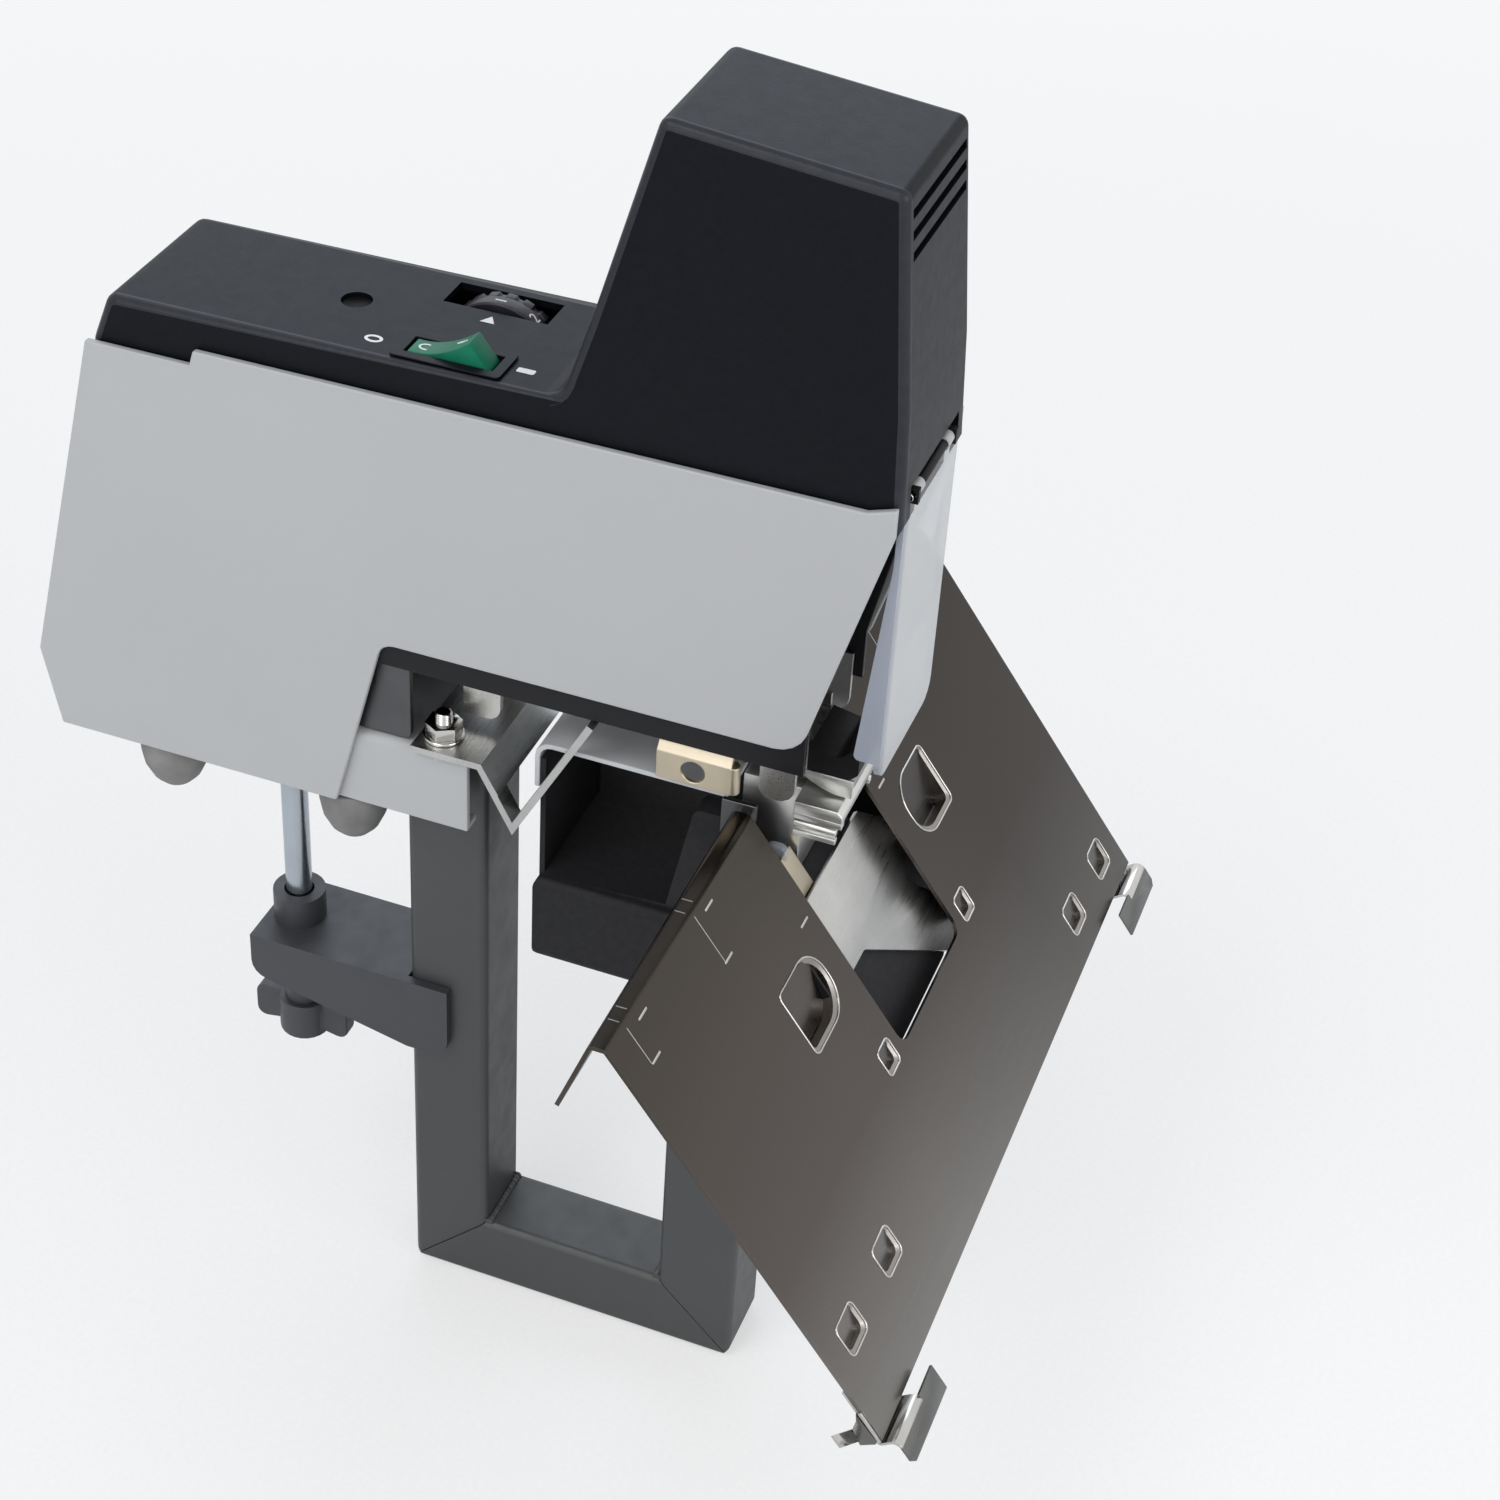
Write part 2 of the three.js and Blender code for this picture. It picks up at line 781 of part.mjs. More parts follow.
function clampArm() {
  const top = -clampDrop;
  const inner = tubeHalf + fit;
  const outer = inner + clampSheet;
  const front = columnBack - clampLap;
  const back = columnBack + clampLength;
  const side = [
    [front, top - clampToeHeight, clampTipRadius], [columnBack, top - clampToeHeight],
    [back, top - clampTipHeight, clampTipRadius], [back, top], [front, top],
  ];
  const below = top - clampToeHeight - overrun;
  const body = cut(
    alongX(side, -outer, outer),
    block(-inner, inner, front - overrun, columnBack + fit, below, top + overrun),
    block(-inner, inner, columnBack, back - clampSheet, below, top - clampSheet),
  );
  const collar = shaft(collarRadius, top - clampSheet, top + collarHeight, 0, spindleBack);
  const bore = shaft(spindleRadius + running, below, top + collarHeight + overrun, 0, spindleBack);
  return cut(joined(body, collar), bore);
}

function wingKnob() {
  const stemTop = -clampDrop - clampSheet - fit;
  const hubTop = -clampDrop - knobDrop;
  const hubBottom = hubTop - hubHeight;
  const hub = upright([
    [0, hubBottom], [hubRadius, hubBottom], [hubRadius, hubTop],
    [knobStemRadius, hubTop], [knobStemRadius, stemTop], [0, stemTop],
  ], 0, spindleBack);
  const half = wingThickness / 2;
  const wings = alongX([
    [spindleBack - wingReach, hubBottom, wingRadius], [spindleBack, hubBottom + wingRadius],
    [spindleBack + wingReach, hubBottom, wingRadius], [spindleBack + wingReach, hubTop, wingRadius],
    [spindleBack, hubTop], [spindleBack - wingReach, hubTop, wingRadius],
  ], -half, half);
  return cut(joined(hub, wings), shaft(spindleRadius + running, hubBottom - overrun,
    stemTop + overrun, 0, spindleBack));
}

// Arm frame and chassis
function armFrame() {
  const rear = rearAt(webZ) - panelSheet - running;
  const side = [
    [-armFront, throatHeight], [rear, throatHeight], [rear, webZ],
    [-armBrow, webZ], [-armFront, throatHeight + armChin],
  ];
  return cut(
    joined(
      alongX(side, -bodyHalf, -frameInner),
      alongX(side, frameInner, bodyHalf),
      block(-bodyHalf, bodyHalf, -armBrow, webBack, webZ - chassisSheet, webZ),
    ),
    shaft(plungerRadius + running, webZ - chassisSheet - overrun, webZ + overrun, 0, 0),
  );
}

function chassisPlate() {
  const front = throatDepth + chassisSetback;
  const bottom = channelZ + fit;
  const top = bottom + chassisHeight;
  const clear = panelSheet + running;
  const side = [
    [front, bottom, chassisSheet], [rearAt(bottom) - clear, bottom],
    [rearAt(top) - clear, top], [front, top, chassisSheet],
  ];
  return alongX(side, -chassisOuter, chassisSheet - chassisOuter);
}

function sideCover() {
  const lower = throatHeight + armCoverEdge;
  const brow = coverZ - earDrop;
  const outline = [
    [-coverNose, lower, coverNoseRadius],
    [notchTopBack, lower, notchRadius],
    [notchBottomBack, baseZ],
    [baseRear, baseZ],
    [coverRearBulge, bulgeZ],
    [coverRearTop, coverZ - coverStep],
    [coverStepBack + coverStepRun, coverZ - coverStep],
    [coverStepBack, coverZ],
    [earReach - coverBrow, coverZ],
    [-coverBrow, coverZ + earRise],
    [-coverBrow, brow],
  ];
  return alongX(outline, -coverOuter, -coverInner);
}

function rearPanel() {
  const top = webZ;
  const outer = [[baseRear, baseZ], [coverRearBulge, bulgeZ], [rearAt(top), top]];
  const sheet = alongX(folded(outer, panelSheet), -bodyHalf, bodyHalf);
  return cut(sheet, inletBlock(inletWidth / 2 + fit, inletHeight / 2 + fit, inletDepth, inletDepth),
    fuseBar(fuseRadius + fit, fuseDepth, fuseDepth));
}

// Fittings of the rear panel stand square to its leaning part
function onRearPanel(solid, z) {
  const lean = THREE.MathUtils.radToDeg(Math.atan(rearLean));
  return solid.rotate([lean, 0, 0]).translate([0, rearAt(z), z]);
}

function inletBlock(halfWidth, halfHeight, inside, outside) {
  const solid = alongY(rectangle(-halfWidth, halfWidth, -halfHeight, halfHeight, inletWall),
    -inside, outside);
  return onRearPanel(solid, channelZ + inletMiddle);
}

function powerInlet() {
  const halfWidth = inletWidth / 2;
  const halfHeight = inletHeight / 2;
  const socketWidth = halfWidth - inletWall;
  const socketHeight = halfHeight - inletWall;
  const body = alongY(rectangle(-halfWidth, halfWidth, -halfHeight, halfHeight, inletWall),
    -inletDepth, inletRim);
  const rim = alongY(rectangle(-halfWidth - inletRim, halfWidth + inletRim, -halfHeight - inletRim,
    halfHeight + inletRim, inletRim), fit, inletRim);
  const socket = alongY(rectangle(-socketWidth, socketWidth, -socketHeight, socketHeight, inletWall),
    inletWall - inletDepth, inletRim + overrun);
  const pins = [-inletPinPitch, 0, inletPinPitch].map((x) => block(
    x - inletPinSheet / 2, x + inletPinSheet / 2, -inletDepth + inletWall / 2,
    inletPinLength - inletDepth, -inletPinWidth / 2, inletPinWidth / 2));
  return onRearPanel(joined(cut(joined(body, rim), socket), ...pins), channelZ + inletMiddle);
}

function fuseBar(radius, inside, outside) {
  const bar = new THREE.CylinderGeometry(radius, radius, inside + outside, 20);
  bar.translate(0, (outside - inside) / 2, 0);
  return onRearPanel(solidOf(bar), channelZ + fuseMiddle);
}

function fuseHolder() {
  const cap = fuseBar(fuseCapRadius, -fit, fuseCapHeight + fit);
  return joined(fuseBar(fuseRadius, fuseDepth, overrun), cap);
}

// Moulded top cover: the outer form drawn in by one wall, then its openings and the dial's lugs
function topOutline() {
  const frontTop = deckZ + towerHeight;
  return [
    [skirtLead - towerChin, skirtZ],
    [deckBack + deckLean, skirtZ],
    [deckBack + deckLean, deckZ - deckLeanHeight],
    [deckBack, deckZ, deckRadius],
    [towerFoot, deckZ, towerFootRadius],
    [towerKnee, deckZ + towerKneeHeight],
    [towerTopBack, frontTop + towerTopRise, towerRadius],
    [-towerTopFront, frontTop, towerRadius],
    [-towerBelly, deckZ + towerBellyHeight],
    [-towerChin, deckZ - towerChinDrop],
  ];
}

function shellSection(half, topHalf) {
  const top = deckZ + towerHeight + towerTopRise;
  return [
    [-half, skirtZ - overrun], [half, skirtZ - overrun], [half, deckZ],
    [topHalf, top + overrun], [-topHalf, top + overrun], [-half, deckZ],
  ];
}

function dialPlace() {
  return { y: controlsBack, z: deckZ + dialProud - dialRadius };
}

function dialLugs() {
  const { y, z } = dialPlace();
  const inner = dialWidth / 2 + fit;
  const outer = inner + dialLug;
  const half = dialLugWidth / 2;
  const lug = alongX([
    [y - half, z - half, half / 2], [y + half, z - half, half / 2],
    [y + half, deckZ - coverWall / 2], [y - half, deckZ - coverWall / 2],
  ], -outer, outer);
  const gap = block(-inner, inner, y - half - overrun, y + half + overrun, z - half - overrun, deckZ);
  return cut(lug, gap).translate([dialOffset, 0, 0]);
}

function dialWindow() {
  const half = dialWindowLength / 2;
  return block(dialOffset - dialWindowWidth / 2, dialOffset + dialWindowWidth / 2,
    controlsBack - half, controlsBack + half, deckZ - coverWall - overrun, deckZ + overrun);
}

function switchOpening() {
  const halfWidth = switchWidth / 2 - bezelRim + fit;
  const halfLength = switchLength / 2 - bezelRim + fit;
  return block(-switchOffset - halfWidth, halfWidth - switchOffset, controlsBack - halfLength,
    controlsBack + halfLength, deckZ - coverWall - overrun, deckZ + overrun);
}

function vents() {
  const first = deckZ + towerHeight - ventTopDrop;
  const half = ventWidth / 2;
  return Array.from({ length: ventCount }, (_, i) => {
    const top = first - i * ventPitch;
    return block(-half, half, -towerChin - overrun, -towerTopFront + coverWall + overrun,
      top - ventHeight, top);
  });
}

function topCover() {
  const outline = topOutline();
  const drawnIn = inset(outline, coverWall);
  const topHalf = towerTopWidth / 2;
  const outer = alongX(outline, -bodyHalf, bodyHalf)
    .intersect(alongY(shellSection(bodyHalf, topHalf), -towerChin - overrun,
      deckBack + deckLean + overrun));
  const hollow = alongX(drawnIn, -frameInner, frameInner)
    .intersect(alongY(shellSection(frameInner, topHalf - coverWall), -towerChin - overrun,
      deckBack + deckLean + overrun));
  const open = block(-frameInner, frameInner, drawnIn[0][0], drawnIn[1][0],
    skirtZ - overrun, drawnIn[0][1] + overrun);
  const { y, z } = dialPlace();
  const notch = block(-hingeNotchWidth / 2, hingeNotchWidth / 2, -towerChin - overrun,
    overrun - towerChin + coverWall + skirtLead, skirtZ - overrun, deckZ - hingeNotchDrop);
  const underChin = block(-frameInner, frameInner, -towerChin - overrun,
    overrun - towerChin + coverWall + skirtLead, skirtZ - overrun, deckZ - towerChinDrop);
  const axleBore = across(dialAxleRadius + fit, dialOffset - dialWidth, dialOffset + dialWidth, y, z);
  return cut(
    joined(cut(outer, hollow, open), dialLugs()),
    dialWindow(),
    switchOpening(),
    shaft(deckHoleRadius, deckZ - coverWall - overrun, deckZ + overrun, 0, deckHoleBack),
    notch,
    underChin,
    axleBore,
    ...vents(),
  );
}

function dialWheel() {
  const { y, z } = dialPlace();
  const rim = [];
  for (let i = 0; i < dialTeeth; i += 1) {
    [0, 1, 2, 3].forEach((corner) => {
      const angle = ((i + corner / 4) / dialTeeth) * 2 * Math.PI;
      const radius = corner < 2 ? dialRadius : dialRadius - dialToothDepth;
      rim.push([y + radius * Math.cos(angle), z + radius * Math.sin(angle)]);
    });
  }
  const half = dialWidth / 2;
  const wheel = alongX(rim, dialOffset - half, dialOffset + half);
  const axle = across(dialAxleRadius, dialOffset - half - fit - dialLug,
    dialOffset + half + fit + dialLug, y, z);
  return joined(wheel, axle);
}

function switchBody() {
  const outerHalf = switchWidth / 2;
  const outerLong = switchLength / 2;
  const half = outerHalf - bezelRim;
  const long = outerLong - bezelRim;
  const bottom = deckZ - switchDepth;
  const top = deckZ + fit + bezelHeight;
  const body = block(-half, half, -long, long, bottom, top);
  const bezel = alongZ(rectangle(-outerHalf, outerHalf, -outerLong, outerLong, bezelRim),
    deckZ + fit, top);
  const cavity = block(switchWall - half, half - switchWall, switchWall - long, long - switchWall,
    bottom + switchWall, top + overrun);
  return cut(joined(body, bezel), cavity).translate([-switchOffset, controlsBack, 0]);
}

function switchRocker() {
  const half = switchWidth / 2 - bezelRim - switchWall - fit;
  const long = rockerLength / 2;
  const pivotZ = deckZ - rockerPivotDrop;
  const outline = [
    [-long + rockerRise / 2, -rockerDepth], [0, -rockerDepth - rockerRise],
    [long - rockerRise / 2, -rockerDepth], [long, rockerRise], [0, 0], [-long, rockerRise],
  ];
  return alongX(outline, -half, half).rotate([-rockerTilt, 0, 0])
    .translate([-switchOffset, controlsBack, pivotZ]);
}

function controlBoard() {
  const bottom = channelZ + fit + chassisHeight + fit;
  const top = bottom + boardSheet;
  const board = block(-chassisOuter, chassisOuter, boardFront, boardRear, bottom, top);
  const relayHalf = relaySide / 2;
  const relay = block(-relayHalf, relayHalf, relayBack - relayHalf, relayBack + relayHalf,
    top - boardSheet / 2, top + relayHeight);
  const capacitor = across(capacitorRadius, -capacitorLength / 2, capacitorLength / 2, capacitorBack,
    top + capacitorRadius - boardSheet / 2);
  return joined(board, relay, capacitor);
}

// Solenoid: yoke, bobbin, winding and plunger
function solenoidYoke() {
  const half = yokeDepth / 2;
  const frame = alongX(rectangle(-half, half, yokeZ, yokeTop), -yokeWidth / 2, yokeWidth / 2);
  const gap = alongX(rectangle(yokeSheet - half, half - yokeSheet, yokeZ + yokeSheet,
    yokeTop - yokeSheet), -yokeWidth, yokeWidth);
  return cut(frame, gap, shaft(plungerRadius + running, yokeZ - overrun, yokeTop + overrun, 0, 0));
}

function bobbin() {
  const inner = plungerRadius + running;
  const hub = inner + bobbinWall;
  const rim = yokeDepth / 2 - yokeSheet - fit;
  const bottom = yokeZ + yokeSheet + fit;
  const top = yokeTop - yokeSheet - fit;
  return upright([
    [inner, bottom], [rim, bottom], [rim, bottom + bobbinFlange], [hub, bottom + bobbinFlange],
    [hub, top - bobbinFlange], [rim, top - bobbinFlange], [rim, top], [inner, top], [inner, bottom],
  ], 0, 0);
}

function winding() {
  const inner = plungerRadius + running + bobbinWall + fit;
  const outer = yokeDepth / 2 - yokeSheet - fit - windingInset;
  const bottom = yokeZ + yokeSheet + fit + bobbinFlange + fit;
  const top = yokeTop - yokeSheet - fit - bobbinFlange - fit;
  return upright([[inner, bottom], [outer, bottom], [outer, top], [inner, top], [inner, bottom]], 0, 0);
}

function plunger() {
  return upright([
    [0, plungerZ], [plungerRadius, plungerZ], [plungerRadius, capZ], [capRadius, capZ],
    [capRadius, capZ + capHeight], [0, capZ + capHeight],
  ], 0, 0);
}

function driverBlade() {
  const half = driverWidth / 2;
  const thick = driverSheet / 2;
  return block(-half, half, -thick, thick, driverZ, plungerZ - fit);
}

function driverGuide() {
  const half = driverWidth / 2 + driverClear;
  const thick = driverSheet / 2 + driverClear;
  const bar = block(-chassisOuter, chassisOuter, -guideDepth / 2, guideDepth / 2, guideBottom, guideZ);
  return cut(bar, block(-half, half, -thick, thick, guideBottom - overrun, guideZ + overrun));
}

class Helix extends THREE.Curve {
  constructor(radius, bottom, top, turns) {
    super();
    Object.assign(this, { radius, bottom, top, turns });
  }

  getPoint(share, target = new THREE.Vector3()) {
    const angle = share * this.turns * 2 * Math.PI;
    const height = this.bottom + (this.top - this.bottom) * share;
    return target.set(this.radius * Math.cos(angle), this.radius * Math.sin(angle), height);
  }
}

function returnSpring() {
  const wire = springWire / 2;
  const section = new THREE.Shape(Array.from({ length: springSides }, (_, i) => {
    const angle = (i / springSides) * 2 * Math.PI;
    return new THREE.Vector2(wire * Math.cos(angle), wire * Math.sin(angle));
  }));
  const path = new Helix(springRadius, guideZ + wire + fit, plungerZ - wire - fit, springTurns);
  const coil = new THREE.ExtrudeGeometry(section, {
    steps: springSteps, bevelEnabled: false, extrudePath: path,
  });
  return solidOf(coil);
}

// Magazine: a channel with a lower nose, carried on a pin behind the throat
function magazineBody() {
  const half = magazineWidth / 2;
  const inside = half - magazineWall;
  const lipTop = noseClear + noseLipHeight;
  const noseSection = [
    [-half, noseClear, noseRadius], [half, noseClear, noseRadius],
    [half, magazineTop], [-half, magazineTop],
  ];
  const lipSection = [
    [-half, noseClear, noseRadius], [half, noseClear, noseRadius], [half, lipTop], [-half, lipTop],
  ];
  const slotHalf = driverWidth / 2 + running;
  const slotThick = driverSheet / 2 + running + driverClear;
  return cut(
    joined(
      alongY(lipSection, -noseFront, noseBack),
      alongY(noseSection, -magazineFront, noseBack),
      block(-half, half, noseBack - overrun, magazineRear, magazineFloor, magazineTop),
    ),
    block(-inside, inside, -magazineFront - overrun, magazineRear + overrun,
      magazineFloor + magazineWall, magazineTop + overrun),
    block(-slotHalf, slotHalf, -slotThick, slotThick, noseClear - overrun, magazineTop),
    across(pivotRadius + fit, -half - overrun, half + overrun, pivotBack, pivotHeight),
  );
}

function magazineDrawer() {
  const half = magazineWidth / 2 - magazineWall - fit;
  const inside = half - drawerSheet;
  const floor = drawerZ + drawerSheet;
  const slotHalf = driverWidth / 2 + running;
  const slotThick = driverSheet / 2 + running + driverClear;
  return cut(
    joined(
      cut(
        block(-half, half, -magazineFront, drawerRear, drawerZ, drawerZ + drawerHeight),
        block(-inside, inside, -magazineFront - overrun, drawerRear - drawerSheet, floor,
          drawerZ + drawerHeight + overrun),
      ),
      block(-coreWidth / 2, coreWidth / 2, coreBack, drawerRear, drawerZ, coreZ),
    ),
    block(-slotHalf, slotHalf, -slotThick, slotThick, drawerZ - overrun, drawerZ + drawerHeight),
  );
}

function drawerHandle() {
  const half = handleWidth / 2;
  const back = -magazineFront - fit;
  const bottom = noseClear + noseLipHeight + fit;
  return alongX([
    [-handleFront, bottom + handleLip, handleLip / 2], [-handleFront + handleLip, bottom],
    [back, bottom], [back, handleTop - handleLip],
    [-handleFront + handleDish + handleLip, handleTop - handleDish, handleLip],
    [-handleFront + handleLip, handleTop], [-handleFront, handleTop],
  ], -half, half);
}

function staplePusher() {
  const half = crownWidth / 2;
  const inside = coreWidth / 2 + fit;
  const bottom = drawerZ + drawerSheet + fit;
  const front = coreBack + fit;
  const section = [
    [-half, bottom], [-inside, bottom], [-inside, coreZ + fit], [inside, coreZ + fit],
    [inside, bottom], [half, bottom], [half, coreZ + pusherTop], [-half, coreZ + pusherTop],
  ];
  return alongY(section, front, front + pusherLength);
}

function magazineCarrier() {
  const inner = cheekGap / 2;
  const outer = inner + cheekSheet;
  const front = pivotBack - cheekLength / 2;
  const back = pivotBack + cheekLength / 2;
  const cheek = [
    [front, cheekBottom, cheekRadius], [back, cheekBottom], [back, carrierTop], [front, carrierTop],
  ];
  return cut(
    joined(
      alongX(cheek, -outer, -inner),
      alongX(cheek, inner, outer),
      block(-chassisOuter, chassisOuter, front, back, carrierTop - cheekSheet, carrierTop),
    ),
    across(pivotRadius + fit, -outer - overrun, outer + overrun, pivotBack, pivotHeight),
  );
}

function pivotPin() {
  const half = cheekGap / 2 + cheekSheet + cheekSheet;
  return across(pivotRadius, -half, half, pivotBack, pivotHeight);
}

function noseGuide() {
  const outline = [
    [-noseGuideFront, noseGuideClear, noseGuideWidth / 2],
    [noseGuideWidth - noseGuideFront, noseGuideClear, noseGuideWidth / 3],
    [noseGuideWidth - noseGuideFront, hangerTop], [-noseGuideFront, hangerTop],
  ];
  return alongX(outline, -chassisOuter, noseGuideSheet - chassisOuter);
}

function sideBracket() {
  const knee = throatHeight - fit - fit;
  const back = sideBracketFront + sideBracketLength;
  const sheet = alongY(folded([
    [-chassisOuter, hangerTop], [-chassisOuter, knee],
    [-bodyHalf, knee - sideBracketJoggle], [-bodyHalf, sideBracketBottom],
  ], sideBracketSheet), sideBracketFront, back);
  const curl = shaft(sideBracketCurl, sideBracketBottom, knee - sideBracketJoggle,
    -bodyHalf + sideBracketCurl, sideBracketFront, 12);
  const hole = across(sideBracketHole, -bodyHalf - overrun, -chassisOuter + overrun,
    (sideBracketFront + back) / 2, (sideBracketBottom + knee - sideBracketJoggle) / 2);
  return cut(joined(sheet, curl), hole);
}

// Guard: a clear plate with side returns, hung from a wire
function guardMount() {
  const front = -wireFront + wireRadius + knuckleWall;
  const top = deckZ - hingeNotchDrop - running;
  const half = mountWidth / 2;
  const bottom = webZ + fit;
  const plate = joined(
    block(-half, half, front, front + mountSheet, bottom, top),
    block(-half, half, front, front + mountFoot, bottom, bottom + mountSheet),
  );
  const earHalf = wireRadius + knuckleWall;
  const ears = [-1, 1].map((side) => {
    const outer = side * (wireLength / 2 - wireRadius);
    const inner = outer - side * mountEar;
    return block(Math.min(inner, outer), Math.max(inner, outer), -wireFront - earHalf,
      front + mountSheet / 2, wireHeight - earHalf, wireHeight + earHalf);
  });
  return cut(joined(plate, ...ears), across(wireRadius + fit, -half, half, -wireFront, wireHeight));
}

function guardWire() {
  return across(wireRadius, -wireLength / 2, wireLength / 2, -wireFront, wireHeight, 12);
}

function guard() {
  const half = guardWidth / 2;
  const face = -wireFront - guardSheet / 2;
  const back = face + guardSheet;
  const plate = alongY([
    [-half, guardBottom, guardRadius], [half, guardBottom, guardRadius],
    [half, guardTop], [-half, guardTop],
  ], face, back);
  const returns = [-half, half - guardSheet].map((x) => alongX([
    [face, guardBottom + guardRadius], [back + guardReturn, guardBottom + guardRadius, guardSheet],
    [back, guardReturnTop], [face, guardReturnTop],
  ], x, x + guardSheet));
  const barrel = wireRadius + knuckleWall - fit;
  const knuckles = [-knuckleOffset, knuckleOffset].map((x) => joined(
    across(barrel, x - knuckleWidth / 2, x + knuckleWidth / 2, -wireFront, wireHeight),
    block(x - knuckleWidth / 2, x + knuckleWidth / 2, face, back, guardTop - overrun, wireHeight),
  ));
  return cut(joined(plate, ...returns, ...knuckles),
    across(wireRadius + fit, -half, half, -wireFront, wireHeight, 12));
}

// Anvil: grooved head on a stem, from a front section and a side section
function anvilFlank(head, stem) {
  const neck = head - anvilGroove;
  const first = -anvilHead - anvilGroove;
  const second = first - anvilLand;
  return [
    [head, 0], [head, -anvilHead], [neck, -anvilHead], [neck, first], [head - anvilGroove / 2, first],
    [head - anvilGroove / 2, second], [neck, second], [stem, second - anvilGroove], [stem, anvilZ],
  ];
}

function anvil() {
  const flank = anvilFlank(anvilWidth / 2, anvilStem / 2);
  const crossSection = [...flank, ...flank.map(([u, v]) => [-u, v]).reverse()];
  const side = anvilFlank(anvilFront, anvilStemFront).map(([u, v]) => [-u, v]);
  side[0] = [anvilChamfer - anvilFront, 0];
  side.splice(1, 0, [-anvilFront, -anvilChamfer]);
  side[side.length - 1] = [-anvilToe, anvilZ];
  const clinch = driverWidth / 2 + driverClear;
  const form = alongY(crossSection, -anvilFront - overrun, anvilBack + overrun)
    .intersect(alongX([...side, [anvilBack, anvilZ], [anvilBack, 0]], -anvilWidth, anvilWidth));
  return cut(form, block(-clinch, clinch, -clinchWidth / 2, clinchWidth / 2, -clinchDepth, overrun));
}

function anvilTab() {
  const outer = -anvilStem / 2 - fit;
  return alongX(rectangle(-tabFront, tabWidth - tabFront, anvilZ + fit, -tabTop, tabRadius),
    outer - tabSheet, outer);
}

// Lower housing round the front column, with a tray that its hump and two walls close
function lowerHousing() {
  const face = frontPlateClear + frontPlateSheet + fit;
  const half = housingWidth / 2;
  const humpHalf = humpWidth / 2;
  const wallTop = workPlateProud - workPlateSheet - fit;
  const floor = -housingFloor;
  const base = alongX([
    behindPanelAt(face, housingZ), [housingBack, housingZ, housingRadius],
    [housingBack, floor, housingRadius], behindPanelAt(face, floor),
  ], -half, half);
  const softened = alongY(rectangle(-half, half, housingZ, floor, housingRadius),
    behindPanelAt(face, housingZ)[0] - overrun, housingBack + overrun);
  const hump = alongX([
    behindPanelAt(face, floor - housingRadius), [humpBack, floor - housingRadius],
    [humpBack, floor], [humpTopBack, -humpDrop, housingRadius], behindPanelAt(face, -humpDrop),
  ], -humpHalf, humpHalf);
  const wall = alongX([
    [housingBack - housingWall, floor - housingRadius], [housingBack, floor - housingRadius],
    [housingBack, -workPlateBend], [housingBack - housingWall, -workPlateBend],
  ], -humpHalf, humpHalf);
  const seam = housingBack - housingWall / 2;
  const farWall = alongX([
    [humpTopBack - housingWall, floor - housingRadius], [seam, floor - housingRadius],
    [seam, -workPlateBend], [housingBack - workPlateBend, wallTop],
    [humpTopBack - housingWall, wallTop],
  ], humpHalf - housingWall, humpHalf);
  const columnHalf = tubeHalf + fit;
  const pocket = anvilWidth / 2 + fit;
  return cut(
    joined(base.intersect(softened), hump, wall, farWall),
    block(-columnHalf, columnHalf, -frontColumnLead - fit, frontColumnBack + fit,
      housingZ - overrun, 0),
    block(-pocket, pocket, -anvilFront - overrun, anvilBack + fit, anvilZ - fit, 0),
  );
}

// The front plate lies on the housing's slope, below and beside the anvil
function frontPlate() {
  const half = frontPlateWidth / 2;
  const beside = anvilWidth / 2 + running;
  const outline = [
    [-half, -frontPlateSill], [-half, -frontPlateHeel, cutoutRadius], [-tubeHalf, -frontPlateHeel],
    [beside, -frontPlateEnd, cutoutRadius], [half, -frontPlateEnd], [half, -frontPlateTop],
    [beside, -frontPlateTop], [beside, -frontPlateSill],
  ];
  return onPanel(alongZ(outline, -frontPlateClear - frontPlateSheet, -frontPlateClear));
}

function workPlate() {
  const half = workPlateWidth / 2;
  const front = anvilBack + fit;
  const inner = workPlateProud - workPlateSheet;
  return alongX([
    [front, inner], [workPlateBack - workPlateSheet, inner, workPlateBend - workPlateSheet],
    [workPlateBack - workPlateSheet, -workPlateLip], [workPlateBack, -workPlateLip],
    [workPlateBack, workPlateProud, workPlateBend], [front, workPlateProud],
  ], -half, half);
}

// Saddle table. On the panel, y runs up the slope from the ridge's edge and z out of its face.
function onPanel(solid) {
  return solid.rotate([panelSlope, 0, 0]).translate([0, -ridgeHalf, 0]);
}

function panelOpening(corners) {
  return onPanel(alongZ(corners, -tableSheet - overrun, overrun));
}

// An opening left of the middle of the table, drawn about its top edge
function lanceOutline({ width, length, radius, nose }) {
  const half = width / 2;
  return [
    [-half, -length, radius], [half, -length, nose], [half, 0, nose], [-half, 0, radius],
  ];
}

// A tongue left in an opening, bent inwards about the opening's top edge
function tongue(place) {
  const half = place.width / 2;
  const lap = tableSheet / 2;
  const hinge = rectangle(tongueGap + place.radius - half, half - place.nose,
    -tongueGap - lap, lap);
  const flap = joined(
    alongZ(inset(lanceOutline(place), tongueGap), -tableSheet, 0),
    alongZ(hinge, -tableSheet, 0),
  ).rotate([tongueAngle, 0, 0]);
  return flap.translate([0, 0, -lap * Math.sin(THREE.MathUtils.degToRad(tongueAngle))]);
}

function lanced(place, solid) {
  const own = place.x < 0 ? solid : mirrored(solid);
  return onPanel(own.translate([place.x, -place.top, 0]));
}

